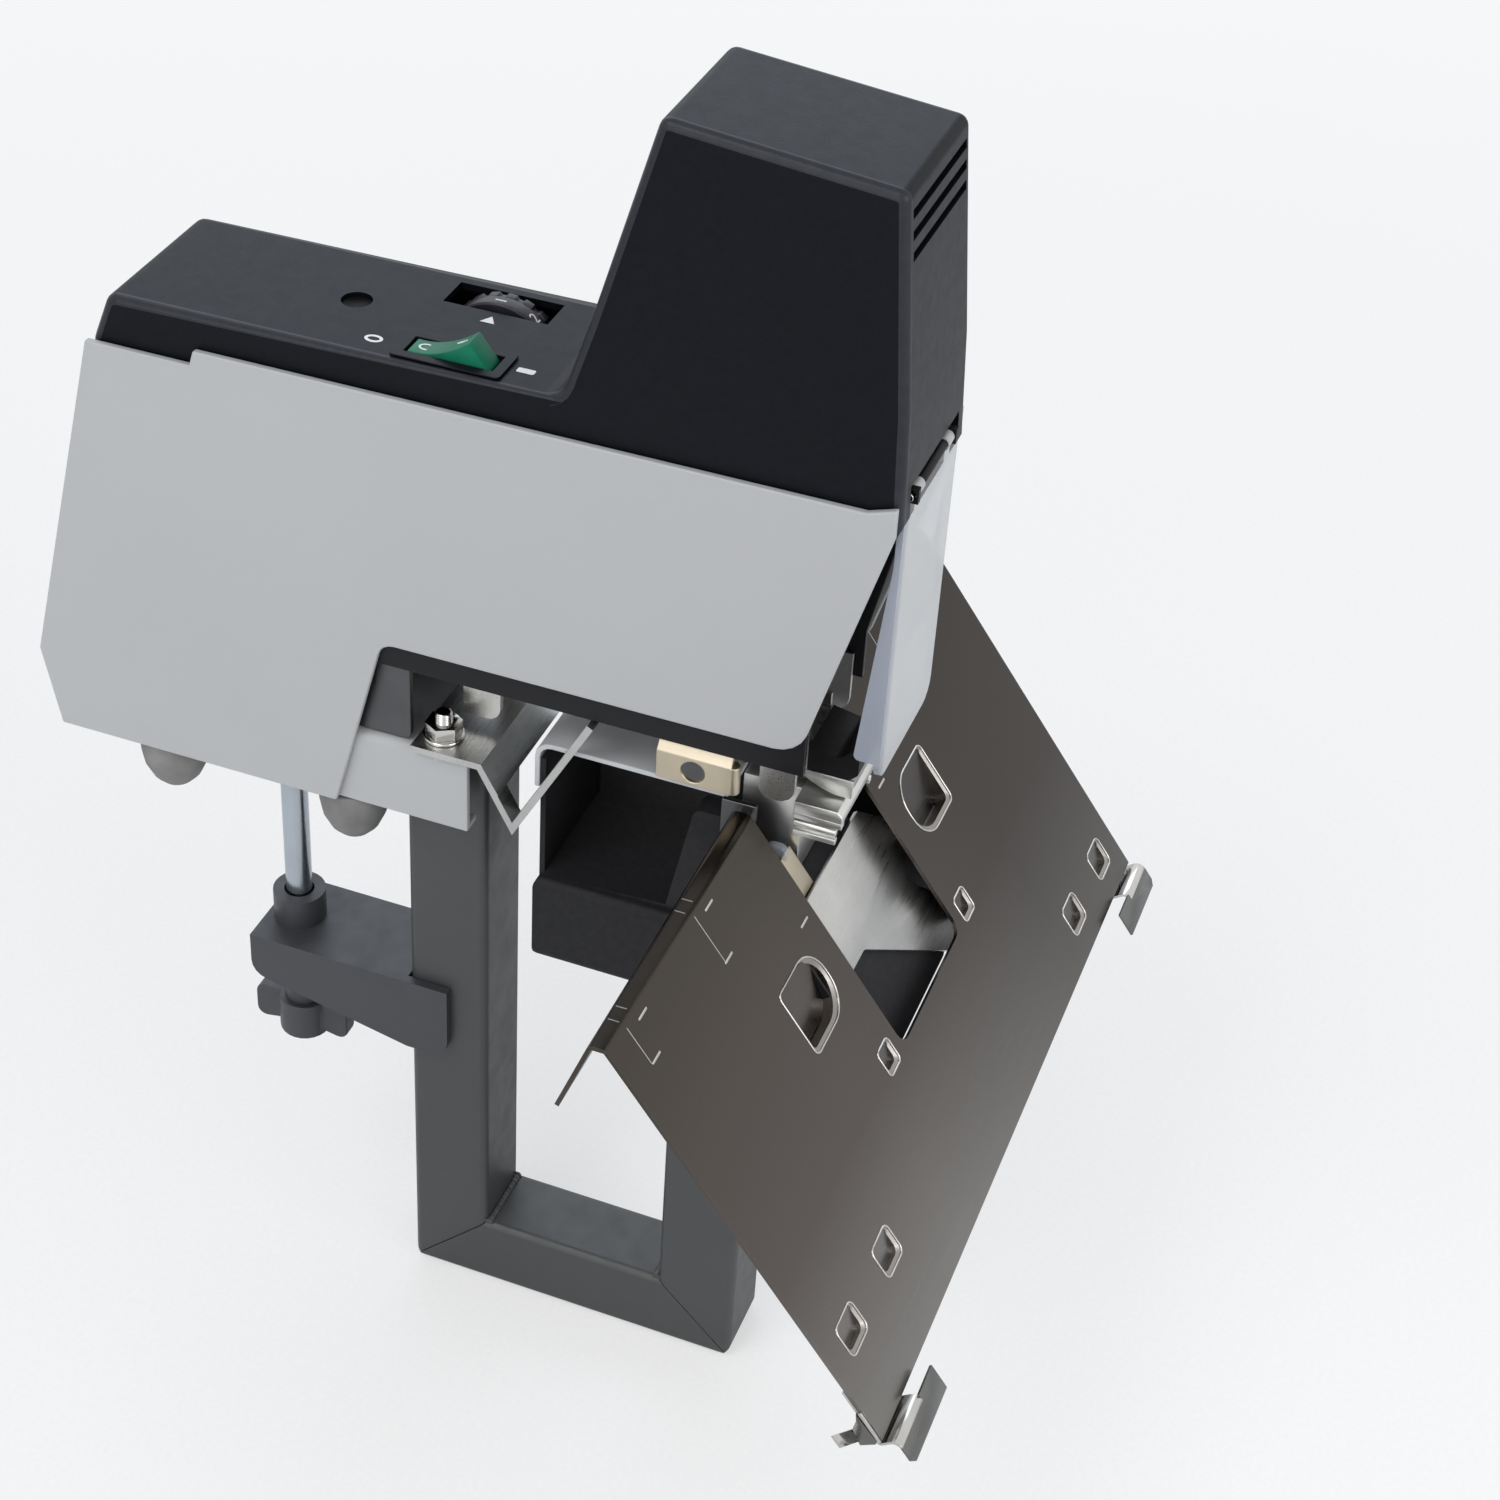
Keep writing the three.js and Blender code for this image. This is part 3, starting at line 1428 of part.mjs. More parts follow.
function lancePlaces() {
  const moon = { top: moonTop, width: moonWidth, length: moonLength, radius: moonRadius, nose: moonNose };
  const bridge = { width: bridgeWidth, length: bridgeLength, radius: bridgeRadius, nose: bridgeRadius };
  const pane = { width: windowSize, length: windowSize, radius: windowRadius, nose: windowRadius };
  return [
    { ...moon, x: -moonOffset }, { ...moon, x: moonOffset },
    { ...bridge, x: -bridgeInner, top: leftBridgeTop }, { ...bridge, x: -bridgeOuter, top: leftBridgeTop },
    { ...bridge, x: bridgeInner, top: rightBridgeTop }, { ...bridge, x: bridgeOuter, top: rightBridgeTop },
    { ...pane, x: -windowOffset, top: windowTop }, { ...pane, x: windowOffset, top: windowTop },
  ];
}

function saddleTable() {
  const panelFoot = behindPanel(0, panelLength);
  const rear = [ridgeHalf + flangeLength * Math.cos(flangeTilt), -flangeLength * Math.sin(flangeTilt)];
  const sheet = alongX(folded([rear, [ridgeHalf, 0], [-ridgeHalf, 0], panelFoot], tableSheet),
    -tableHalf, tableHalf);
  const cutHalf = cutoutWidth / 2;
  const cutout = panelOpening([
    [-cutHalf, -cutoutLength, cutoutRadius], [cutHalf, -cutoutLength, cutoutRadius],
    [cutHalf, overrun], [-cutHalf, overrun],
  ]);
  const through = block(-cutHalf, cutHalf, -ridgeHalf - overrun, rear[0] + overrun,
    rear[1] - overrun, overrun);
  const openings = lancePlaces().map((place) => lanced(place,
    alongZ(lanceOutline(place), -tableSheet - overrun, overrun)));
  return joined(
    cut(sheet, cutout, through, ...openings),
    ...lancePlaces().map((place) => lanced(place, tongue(place))),
  );
}

function tableBracket() {
  const outer = -humpWidth / 2 - fit;
  const toe = tablePinRadius + tableSheet;
  const pinZ = -tableSheet - fit - tablePinRadius;
  const web = alongX([
    [-toe, pinZ - toe], [tableBracketBack / 4, -tableBracketHeight],
    [tableBracketBack, -tableBracketHeight, toe], [tableBracketBack, pinZ + toe],
    [-toe, pinZ + toe],
  ], outer - tableBracketSheet, outer);
  const pin = across(tablePinRadius, outer - tablePinLength, outer, 0, pinZ, 12);
  return joined(web, pin);
}

// A stop slides under the panel; its lip stands up in front of the foot of the panel
function tableStop(side) {
  const top = -tableSheet - fit;
  const bottom = top - stopSheet;
  const neckHalf = stopNeck / 2;
  const lipHalf = stopWidth / 2;
  const middle = stopCentre - stopShift;
  const neck = block(stopCentre - neckHalf, stopCentre + neckHalf, -stopEnd, stopNeckLength - stopEnd,
    bottom, top);
  const runner = block(tableHalf - runnerInset, tableHalf + runnerProud, -stopEnd,
    runnerLength - stopEnd, bottom, top);
  const lip = alongY(rectangle(middle - lipHalf, middle + lipHalf, bottom, bottom + stopRise, stopSheet),
    -stopEnd, stopSheet - stopEnd);
  const stop = joined(neck, runner, lip);
  return onPanel(side < 0 ? mirrored(stop) : stop);
}

// Paper stop: flange on the channel, a short apron and two bent hooks
function paperStop() {
  const half = stopPlateWidth / 2;
  const back = stopBend + stopFlange;
  const plate = alongX(folded([
    [stopBend - stopApronRun, stopZ - stopApronDrop], [stopBend, stopZ], [back, stopZ],
  ], stopPlateSheet), -half, half);
  const low = stopBend - hookRun;
  const hook = folded([
    [low - hookReturn, stopZ - hookDrop + hookRise], [low, stopZ - hookDrop], [stopBend, stopZ],
    [stopBend + stopPlateSheet, stopZ],
  ], stopPlateSheet);
  const bores = [-studOffset, studOffset].map((x) => shaft(studRadius + fit, stopZ - overrun,
    stopZ + stopPlateSheet + overrun, x, stopBend + studBack, 12));
  return cut(
    joined(plate, alongX(hook, -half, hookWidth - half), alongX(hook, half - hookWidth, half)),
    ...bores,
  );
}

function stopScrew(x) {
  const headTop = channelZ - chassisSheet - fit;
  const head = headTop - studHeadHeight;
  const nut = stopZ + stopPlateSheet + fit;
  return upright([
    [0, head], [studHeadRadius, head], [studHeadRadius, headTop], [studRadius, headTop],
    [studRadius, nut], [nutRadius, nut], [nutRadius, nut + nutHeight], [studRadius, nut + nutHeight],
    [studRadius, head + studHeight], [0, head + studHeight],
  ], x, stopBend + studBack);
}

// The whole machine
const dial = dialPlace();
const machine = assembly(
  assembly(
    piece('rear_column', rearColumn(), blackPaint),
    piece('front_column', frontColumn(), blackPaint),
    piece('bottom_bar', bottomBar(), blackPaint),
  ),
  assembly(
    piece('base_channel', baseChannel(), silverPaint),
    piece('base_plate', basePlate(), darkSteel),
    feet(),
  ),
  assembly(
    piece('clamp_spindle', clampSpindle(), zincSteel),
    piece('clamp_arm', clampArm(), blackPaint),
    pieceAt('clamp_knob', wingKnob(), blackPlastic, 0, spindleBack, -clampDrop - knobDrop),
  ),
  assembly(
    piece('arm_frame', armFrame(), blackPaint),
    piece('chassis_left', chassisPlate(), brushedSteel),
    piece('chassis_right', mirrored(chassisPlate()), brushedSteel),
    piece('side_cover_left', sideCover(), silverPaint),
    piece('side_cover_right', mirrored(sideCover()), silverPaint),
    piece('rear_panel', rearPanel(), silverPaint),
    piece('power_inlet', powerInlet(), blackPlastic),
    piece('fuse_holder', fuseHolder(), blackPlastic),
  ),
  assembly(
    piece('top_cover', topCover(), blackPlastic),
    pieceAt('dial_wheel', dialWheel(), blackPlastic, dialOffset, dial.y, dial.z),
    piece('switch_body', switchBody(), blackPlastic),
    pieceAt('switch_rocker', switchRocker(), greenPlastic, -switchOffset, controlsBack,
      deckZ - rockerPivotDrop),
    piece('control_board', controlBoard(), boardGreen),
  ),
  assembly(
    piece('solenoid_yoke', solenoidYoke(), darkSteel),
    piece('coil_bobbin', bobbin(), blackPlastic),
    piece('coil_winding', winding(), copperWire),
    piece('plunger', plunger(), zincSteel),
    piece('driver_blade', driverBlade(), brushedSteel),
    piece('driver_guide', driverGuide(), darkSteel),
    piece('return_spring', returnSpring(), zincSteel),
  ),
  assembly(
    piece('magazine', magazineBody(), brushedSteel),
    piece('magazine_drawer', magazineDrawer(), brushedSteel),
    piece('drawer_handle', drawerHandle(), blackPlastic),
    piece('staple_pusher', staplePusher(), zincSteel),
    piece('magazine_carrier', magazineCarrier(), brushedSteel),
    piece('pivot_pin', pivotPin(), zincSteel),
    piece('nose_guide_left', noseGuide(), creamSteel),
    piece('nose_guide_right', mirrored(noseGuide()), creamSteel),
    piece('side_bracket_left', sideBracket(), creamSteel),
    piece('side_bracket_right', mirrored(sideBracket()), creamSteel),
  ),
  assembly(
    piece('guard_mount', guardMount(), darkSteel),
    piece('guard_wire', guardWire(), zincSteel),
    pieceAt('guard', guard(), clearPlastic, 0, -wireFront, wireHeight),
  ),
  assembly(
    piece('anvil', anvil(), brushedSteel),
    piece('anvil_tab', anvilTab(), clearPlastic),
    piece('lower_housing', lowerHousing(), blackPlastic),
    piece('front_plate', frontPlate(), brushedSteel),
    piece('work_plate', workPlate(), brushedSteel),
  ),
  assembly(
    piece('saddle_table', saddleTable(), mirrorSteel),
    piece('table_bracket_left', tableBracket(), brushedSteel),
    piece('table_bracket_right', mirrored(tableBracket()), brushedSteel),
    piece('table_stop_left', tableStop(-1), brushedSteel),
    piece('table_stop_right', tableStop(1), brushedSteel),
  ),
  assembly(
    piece('paper_stop', paperStop(), brushedSteel),
    piece('stop_screw_left', stopScrew(-studOffset), zincSteel),
    piece('stop_screw_right', stopScrew(studOffset), zincSteel),
  ),
);

const originBack = (footFrontBack + spindleBack) / 2;
machine.position.set(0, -originBack, -baseZ);

const stapler = new THREE.Group();
stapler.add(machine);

export default stapler;
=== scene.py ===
import bmesh
import bpy
import json
import math
from mathutils import Matrix, Vector

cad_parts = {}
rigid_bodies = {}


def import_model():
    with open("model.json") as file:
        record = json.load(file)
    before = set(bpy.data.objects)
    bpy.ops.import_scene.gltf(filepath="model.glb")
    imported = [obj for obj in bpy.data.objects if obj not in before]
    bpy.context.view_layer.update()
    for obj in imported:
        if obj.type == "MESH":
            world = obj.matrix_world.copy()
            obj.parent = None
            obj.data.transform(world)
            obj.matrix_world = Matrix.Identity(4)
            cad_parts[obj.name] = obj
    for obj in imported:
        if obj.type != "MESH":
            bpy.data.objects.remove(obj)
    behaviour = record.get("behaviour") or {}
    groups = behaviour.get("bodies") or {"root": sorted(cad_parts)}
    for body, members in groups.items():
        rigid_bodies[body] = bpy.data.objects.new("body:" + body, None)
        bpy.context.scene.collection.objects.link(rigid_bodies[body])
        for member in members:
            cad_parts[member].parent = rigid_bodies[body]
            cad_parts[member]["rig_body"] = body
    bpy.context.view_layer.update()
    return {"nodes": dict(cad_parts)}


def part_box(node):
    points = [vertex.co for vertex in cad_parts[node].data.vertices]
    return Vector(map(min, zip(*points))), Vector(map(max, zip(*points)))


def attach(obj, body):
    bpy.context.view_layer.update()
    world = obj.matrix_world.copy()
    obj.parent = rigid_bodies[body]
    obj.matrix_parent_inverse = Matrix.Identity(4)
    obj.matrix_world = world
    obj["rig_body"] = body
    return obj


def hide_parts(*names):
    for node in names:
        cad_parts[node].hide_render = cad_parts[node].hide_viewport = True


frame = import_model()
NODES = frame["nodes"]
MM = 0.001
CREASE = 35  # degrees
AS_DRAWN = Matrix.Identity(4)
# Stands a flat outline up: its x along Y, its y along Z and its thickness along X
ACROSS = Matrix(((0, 0, 1, 0), (1, 0, 0, 0), (0, 1, 0, 0), (0, 0, 0, 1)))

# Row-frame places in millimetres, and the slope of the table's panels. A run is a way down
# the panel from its ridge.
DECK_TOP = 143.7
CONTROLS_Y = -46.65
PANEL_SLOPE = math.radians(53)
RIDGE_Z = 34.0
RIDGE_Y = -133.15
RIDGE_HALF = 2.3
TABLE_HALF = 124.0
FOOT_RUN = 129.0
PLATE_DEPTH = 5.5
FLOOR_Z = -193.0


# ---------------------------------------------------------------- materials

class Shade:
    """Builds one procedural material: its nodes are placed by short calls."""

    def __init__(self, name):
        self.material = bpy.data.materials.new(name)
        self.material.use_nodes = True
        self.tree = self.material.node_tree
        self.tree.nodes.clear()
        self.out = self.add("ShaderNodeOutputMaterial")
        self.bsdf = self.add("ShaderNodeBsdfPrincipled")
        self.link(self.bsdf, "BSDF", self.out, "Surface")
        self.coords = self.add("ShaderNodeTexCoord")

    def add(self, kind, **values):
        """New node with the given properties."""
        node = self.tree.nodes.new(kind)
        for key, value in values.items():
            setattr(node, key, value)
        return node

    def link(self, a, socket_a, b, socket_b):
        self.tree.links.new(a.outputs[socket_a], b.inputs[socket_b])

    def set(self, **values):
        """Fixed values of the main shader, with _ for the spaces in their names."""
        for key, value in values.items():
            self.bsdf.inputs[key.replace("_", " ")].default_value = value

    def noise(self, scale, detail=3.0, roughness=0.55, stretch=(1, 1, 1)):
        """Noise in the object's own metres, drawn out along an axis by stretch."""
        place = self.add("ShaderNodeMapping")
        place.inputs["Scale"].default_value = stretch
        self.link(self.coords, "Object", place, "Vector")
        node = self.add("ShaderNodeTexNoise")
        node.inputs["Scale"].default_value = scale
        node.inputs["Detail"].default_value = detail
        node.inputs["Roughness"].default_value = roughness
        self.link(place, "Vector", node, "Vector")
        return node

    def ramp(self, source, socket, low, high, start=0.35, end=0.65):
        """Turns a grey value into a colour between low and high."""
        node = self.add("ShaderNodeValToRGB")
        node.color_ramp.elements[0].position = start
        node.color_ramp.elements[1].position = end
        node.color_ramp.elements[0].color = (*low, 1)
        node.color_ramp.elements[1].color = (*high, 1)
        self.link(source, socket, node, "Fac")
        return node

    def spread(self, source, socket, low, high, start=0.3, end=0.7):
        """Maps a value between start and end to the range low to high."""
        node = self.add("ShaderNodeMapRange")
        node.inputs["From Min"].default_value = start
        node.inputs["From Max"].default_value = end
        node.inputs["To Min"].default_value = low
        node.inputs["To Max"].default_value = high
        self.link(source, socket, node, "Value")
        return node

    def bump(self, source, socket, strength, distance, before=None):
        """Surface relief from a grey value, over another relief where one comes before it."""
        node = self.add("ShaderNodeBump")
        node.inputs["Strength"].default_value = strength
        node.inputs["Distance"].default_value = distance
        self.link(source, socket, node, "Height")
        if before:
            self.link(before, "Normal", node, "Normal")
        return node

    def colour(self, *mapping):
        """Base colour by a ramp."""
        self.link(self.ramp(*mapping), "Color", self.bsdf, "Base Color")

    def gloss(self, *mapping):
        """Roughness by a spread."""
        self.link(self.spread(*mapping), "Result", self.bsdf, "Roughness")

    def relief(self, *mapping):
        """Normal by a bump."""
        self.link(self.bump(*mapping), "Normal", self.bsdf, "Normal")


def scaled(color, factor):
    """The colour made lighter or darker."""
    return tuple(channel * factor for channel in color)


def painted(name, color, roughness, peel, vary=0.06, specular=0.5):
    """Sprayed enamel: a fine orange peel, slight clouding and scuffs in the gloss."""
    s = Shade(name)
    cloud = s.noise(9, 2)
    s.colour(cloud, "Fac", scaled(color, 1 - vary), scaled(color, 1 + vary))
    scuff = s.noise(160, 5)
    s.gloss(scuff, "Fac", roughness - 0.05, roughness + 0.07)
    s.set(Specular_IOR_Level=specular)
    grain = s.noise(1500, 3)
    s.relief(grain, "Fac", peel, 0.00012)
    return s.material


def moulded(name, color, roughness, grain_size, depth, specular=0.5, sheen=(1, 1, 1)):
    """Moulded plastic with a spark-eroded grain."""
    s = Shade(name)
    cloud = s.noise(420, 3)
    s.colour(cloud, "Fac", scaled(color, 0.9), scaled(color, 1.1))
    wear = s.noise(260, 4)
    s.gloss(wear, "Fac", roughness - 0.02, roughness + 0.03)
    s.set(Specular_IOR_Level=specular, Specular_Tint=(*sheen, 1))
    cells = s.add("ShaderNodeTexVoronoi")
    cells.inputs["Scale"].default_value = grain_size
    s.link(s.coords, "Object", cells, "Vector")
    s.relief(cells, "Distance", depth, 0.00015)
    return s.material


def metal(name, color, roughness, stretch=(1, 40, 40), streak=0.35, vary=0.1, scale=60):
    """Bare or plated steel with drawn-out brushing lines and faint handling marks."""
    s = Shade(name)
    s.set(Metallic=1.0)
    lines = s.noise(scale, 4, 0.7, stretch)
    marks = s.noise(35, 4)
    s.colour(marks, "Fac", scaled(color, 1 - vary), scaled(color, 1 + vary))
    s.gloss(lines, "Fac", roughness * 0.8, roughness * 1.3)
    s.relief(lines, "Fac", streak, 0.00004)
    return s.material


def table_steel():
    """Polished dark sheet. Its colour holds a painted reflection, pale at the foot and dark at the
    ridge, and it is paler towards its left end.
    """
    s = Shade("saddle_sheet")
    s.set(Metallic=1.0)
    lines = s.noise(26, 5, 0.7, (1, 60, 60))
    split = s.add("ShaderNodeSeparateXYZ")
    s.link(s.coords, "Object", split, "Vector")
    # painted reflection: the colour runs from pale at the foot to dark at the ridge
    height = s.spread(split, "Z", 0, 1, -0.075, 0.035)
    painted_light = s.ramp(height, "Result", (0.15, 0.143, 0.135), (0.04, 0.035, 0.03), 0.05, 0.95)
    middle = painted_light.color_ramp.elements.new(0.42)
    middle.color = (0.072, 0.063, 0.058, 1)
    # paler towards the left end
    across = s.spread(split, "X", 1.75, 1, -0.05, 0.07)
    reflection_tone = s.add("ShaderNodeVectorMath", operation="SCALE")
    s.link(painted_light, "Color", reflection_tone, "Vector")
    s.link(across, "Result", reflection_tone, "Scale")
    s.link(reflection_tone, "Vector", s.bsdf, "Base Color")
    s.gloss(lines, "Fac", 0.22, 0.28)
    dust = s.noise(420, 4)
    fine = s.bump(lines, "Fac", 0.1, 0.00003)
    s.relief(dust, "Fac", 0.05, 0.00004, fine)
    return s.material


def clear(name, color, alpha, roughness, edge=None):
    """Milky clear plastic, clouded a little by wiping marks; edge tints its left rim."""
    s = Shade(name)
    haze = s.noise(22, 2, 0.5, (1, 1, 2))
    if edge:
        across = s.add("ShaderNodeSeparateXYZ")
        s.link(s.coords, "Generated", across, "Vector")
        tint = s.ramp(across, "X", edge, color, 0.04, 0.11)
    else:
        tint = s.ramp(haze, "Fac", scaled(color, 0.95), color)
    s.link(tint, "Color", s.bsdf, "Base Color")
    cover = s.spread(haze, "Fac", alpha - 0.02, alpha + 0.03)
    s.link(cover, "Result", s.bsdf, "Alpha")
    s.gloss(haze, "Fac", roughness * 0.8, roughness * 1.4)
    fine = s.noise(700, 3)
    s.relief(fine, "Fac", 0.03, 0.00003)
    return s.material


def lamp_green():
    """Tinted translucent plastic of the lit switch."""
    s = Shade("switch_green")
    body = s.noise(120, 3)
    s.colour(body, "Fac", (0.005, 0.13, 0.07), (0.009, 0.18, 0.1))
    s.gloss(body, "Fac", 0.42, 0.5)
    s.set(Transmission_Weight=0.06, IOR=1.45, Specular_IOR_Level=0.06)
    s.relief(body, "Fac", 0.05, 0.0001)
    return s.material


def circuit_board():
    """Green board with its copper tracks showing through the lacquer."""
    s = Shade("circuit_board")
    tracks = s.add("ShaderNodeTexBrick")
    tracks.inputs["Scale"].default_value = 180
    tracks.inputs["Color1"].default_value = (0.03, 0.14, 0.06, 1)
    tracks.inputs["Color2"].default_value = (0.04, 0.17, 0.075, 1)
    tracks.inputs["Mortar"].default_value = (0.06, 0.24, 0.1, 1)
    s.link(s.coords, "Object", tracks, "Vector")
    s.link(tracks, "Color", s.bsdf, "Base Color")
    resist = s.noise(300, 3)
    s.gloss(resist, "Fac", 0.3, 0.45)
    s.relief(tracks, "Fac", 0.3, 0.0001)
    return s.material


def wound_copper():
    """Enamelled wire in even turns."""
    s = Shade("wound_wire")
    s.set(Metallic=1.0)
    turns = s.add("ShaderNodeTexWave")
    turns.bands_direction = "Z"
    turns.inputs["Scale"].default_value = 320
    turns.inputs["Distortion"].default_value = 0.3
    s.link(s.coords, "Object", turns, "Vector")
    s.colour(turns, "Fac", (0.2, 0.07, 0.025), (0.58, 0.26, 0.11), 0.1, 0.8)
    s.gloss(turns, "Fac", 0.3, 0.4)
    s.relief(turns, "Fac", 0.6, 0.0003)
    return s.material


def rubber():
    """Grey rubber with a dry bloom."""
    s = Shade("foot_rubber")
    bloom = s.noise(60, 4)
    s.colour(bloom, "Fac", (0.15, 0.15, 0.145), (0.24, 0.24, 0.23))
    s.gloss(bloom, "Fac", 0.6, 0.8)
    skin = s.noise(900, 4)
    s.relief(skin, "Fac", 0.3, 0.0002)
    return s.material


def print_ink():
    """Pad-printed white, thin at its edges."""
    s = Shade("print_white")
    ink = s.noise(2500, 3)
    s.colour(ink, "Fac", (0.72, 0.73, 0.74), (0.9, 0.9, 0.9))
    s.gloss(ink, "Fac", 0.4, 0.55)
    return s.material


def floor_paper():
    """White paper that keeps the shadow near the object and runs into the white behind it."""
    s = Shade("floor_paper")
    s.set(Roughness=0.9, Specular_IOR_Level=0.1)
    fibre = s.noise(600, 4)
    s.colour(fibre, "Fac", (0.86, 0.86, 0.865), (0.9, 0.9, 0.9))
    reach = s.add("ShaderNodeVectorMath", operation="LENGTH")
    s.link(s.coords, "Object", reach, "Vector")
    fade = s.spread(reach, "Value", 0.5, 1, 0.25, 2.2)
    fade.interpolation_type = "SMOOTHSTEP"
    path = s.add("ShaderNodeLightPath")
    seen = s.add("ShaderNodeMath", operation="MULTIPLY")
    s.link(fade, "Result", seen, 0)
    s.link(path, "Is Camera Ray", seen, 1)
    glow = s.add("ShaderNodeEmission")
    glow.inputs["Color"].default_value = (1, 1, 1, 1)
    mix = s.add("ShaderNodeMixShader")
    s.link(seen, "Value", mix, "Fac")
    s.link(s.bsdf, "BSDF", mix, 1)
    s.link(glow, "Emission", mix, 2)
    s.link(mix, "Shader", s.out, "Surface")
    return s.material


GREY = painted("grey_enamel", (0.43, 0.438, 0.447), 0.42, 0.08, 0.015)
STAND = painted("stand_enamel", (0.05, 0.052, 0.053), 0.42, 0.22)
FRAME = painted("frame_black", (0.011, 0.011, 0.013), 0.4, 0.15, 0.06, 0.2)
ANVIL = metal("ground_steel", (0.66, 0.66, 0.64), 0.36, (40, 1, 40), 0.15, 0.05)
SCOOP = metal("drawn_steel", (0.3, 0.28, 0.265), 0.3, (1, 30, 30), 0.1)
ARM = painted("clamp_enamel", (0.042, 0.044, 0.05), 0.45, 0.3)
SHELL = moulded("shell_black", (0.0046, 0.005, 0.0068), 0.38, 2600, 0.2, 0.12, (0.78, 0.86, 1))
# Lighter black for the rounded edges of the top cover: a painted highlight
SHELL_HIGHLIGHT = moulded("shell_edge", (0.022, 0.023, 0.03), 0.34, 2600, 0.12, 0.22)
MOULDED = moulded("housing_black", (0.008, 0.008, 0.009), 0.45, 1900, 0.25, 0.16)
# Black of the lower housing, lighter than the other black mouldings: painted light that lifts the
# shade in its tray and on its front
TRAY_LIFTED = moulded("tray_black", (0.02, 0.02, 0.022), 0.5, 1900, 0.25, 0.12)
BRUSHED = metal("brushed_steel", (0.5, 0.5, 0.49), 0.3)
PLATE = painted("work_plate_grey", (0.56, 0.575, 0.59), 0.36, 0.05, 0.02)
ZINC = metal("zinc_steel", (0.42, 0.46, 0.5), 0.24, (40, 40, 1), 0.15)
CREAM = metal("passivated_steel", (0.5, 0.44, 0.34), 0.36, (30, 1, 30), 0.15)
DARK = metal("blued_steel", (0.11, 0.11, 0.115), 0.35, (20, 20, 1), 0.25)
CHROME = metal("polished_steel", (0.55, 0.54, 0.52), 0.14, (1, 30, 30), 0.1)
# Darker copy of the table stop's polished steel: a painted dark reflection on its lip and cheek
STOP_DARKENED = metal("stop_steel_darkened", (0.17, 0.172, 0.165), 0.26, (1, 40, 40), 0.2)
SHEET = table_steel()
GUARD = clear("guard_clear", (0.62, 0.635, 0.65), 0.74, 0.14, (0.36, 0.39, 0.46))
TAB = clear("tab_clear", (0.6, 0.65, 0.72), 0.35, 0.1)
GREEN = lamp_green()
BOARD = circuit_board()
COPPER = wound_copper()
RUBBER = rubber()
WHITE = print_ink()
DIAL = moulded("dial_grey", (0.02, 0.019, 0.026), 0.34, 2200, 0.12, 0.3)
LENS = moulded("lens_dark", (0.003, 0.003, 0.0035), 0.3, 400, 0.02, 0.05)


# ---------------------------------------------------------------- mesh tools

def body_of_node(name):
    """Body that a CAD node rides on."""
    return NODES[name]["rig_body"]


def smooth(mesh, degrees=CREASE):
    """Smooth faces, with creases kept where the surface turns by more than this."""
    mesh.polygons.foreach_set("use_smooth", [True] * len(mesh.polygons))
    mesh.set_sharp_from_angle(angle=math.radians(degrees))


def weigh_normals(obj):
    """Weights the normals by the size of their faces, and keeps them in the mesh itself."""
    modifier = obj.modifiers.new("weighted_normal", "WEIGHTED_NORMAL")
    modifier.keep_sharp = True
    graph = bpy.context.evaluated_depsgraph_get()
    mesh = bpy.data.meshes.new_from_object(obj.evaluated_get(graph))
    obj.modifiers.clear()
    old = obj.data
    obj.data = mesh
    bpy.data.meshes.remove(old)


def made(name, mesh, material):
    """New object in the scene from a mesh, with one material."""
    mesh.name = name
    mesh.materials.clear()
    mesh.materials.append(material)
    obj = bpy.data.objects.new(name, mesh)
    bpy.context.scene.collection.objects.link(obj)
    return obj


def fitted(obj, body):
    """Puts a piece on its body."""
    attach(obj, body)
    return obj


def turning_edges(bm, limit, pick):
    """Edges where the surface turns outwards by more than limit, and whose middle pick takes."""
    edges = []
    for edge in bm.edges:
        if len(edge.link_faces) != 2 or edge.calc_face_angle_signed(0) < math.radians(limit):
            continue
        middle = (edge.verts[0].co + edge.verts[1].co) / (2 * MM)
        if pick is None or pick(middle):
            edges.append(edge)
    return edges


def round_edges(bm, edges, width, segments, clamp=True, material=-1):
    """Rounds the edges; the new faces take the material with that number, if one is given."""
    bmesh.ops.bevel(bm, geom=edges, offset=width, offset_type="OFFSET", segments=segments,
                    profile=0.5, affect="EDGES", clamp_overlap=clamp, material=material)


def cleaned(node):
    """Mesh of a CAD node with its doubled corners and flat seams joined, in metres."""
    bm = bmesh.new()
    bm.from_mesh(NODES[node].data)
    bmesh.ops.remove_doubles(bm, verts=bm.verts, dist=1e-6)
    bmesh.ops.dissolve_limit(bm, angle_limit=math.radians(0.8), verts=bm.verts, edges=bm.edges)
    return bm


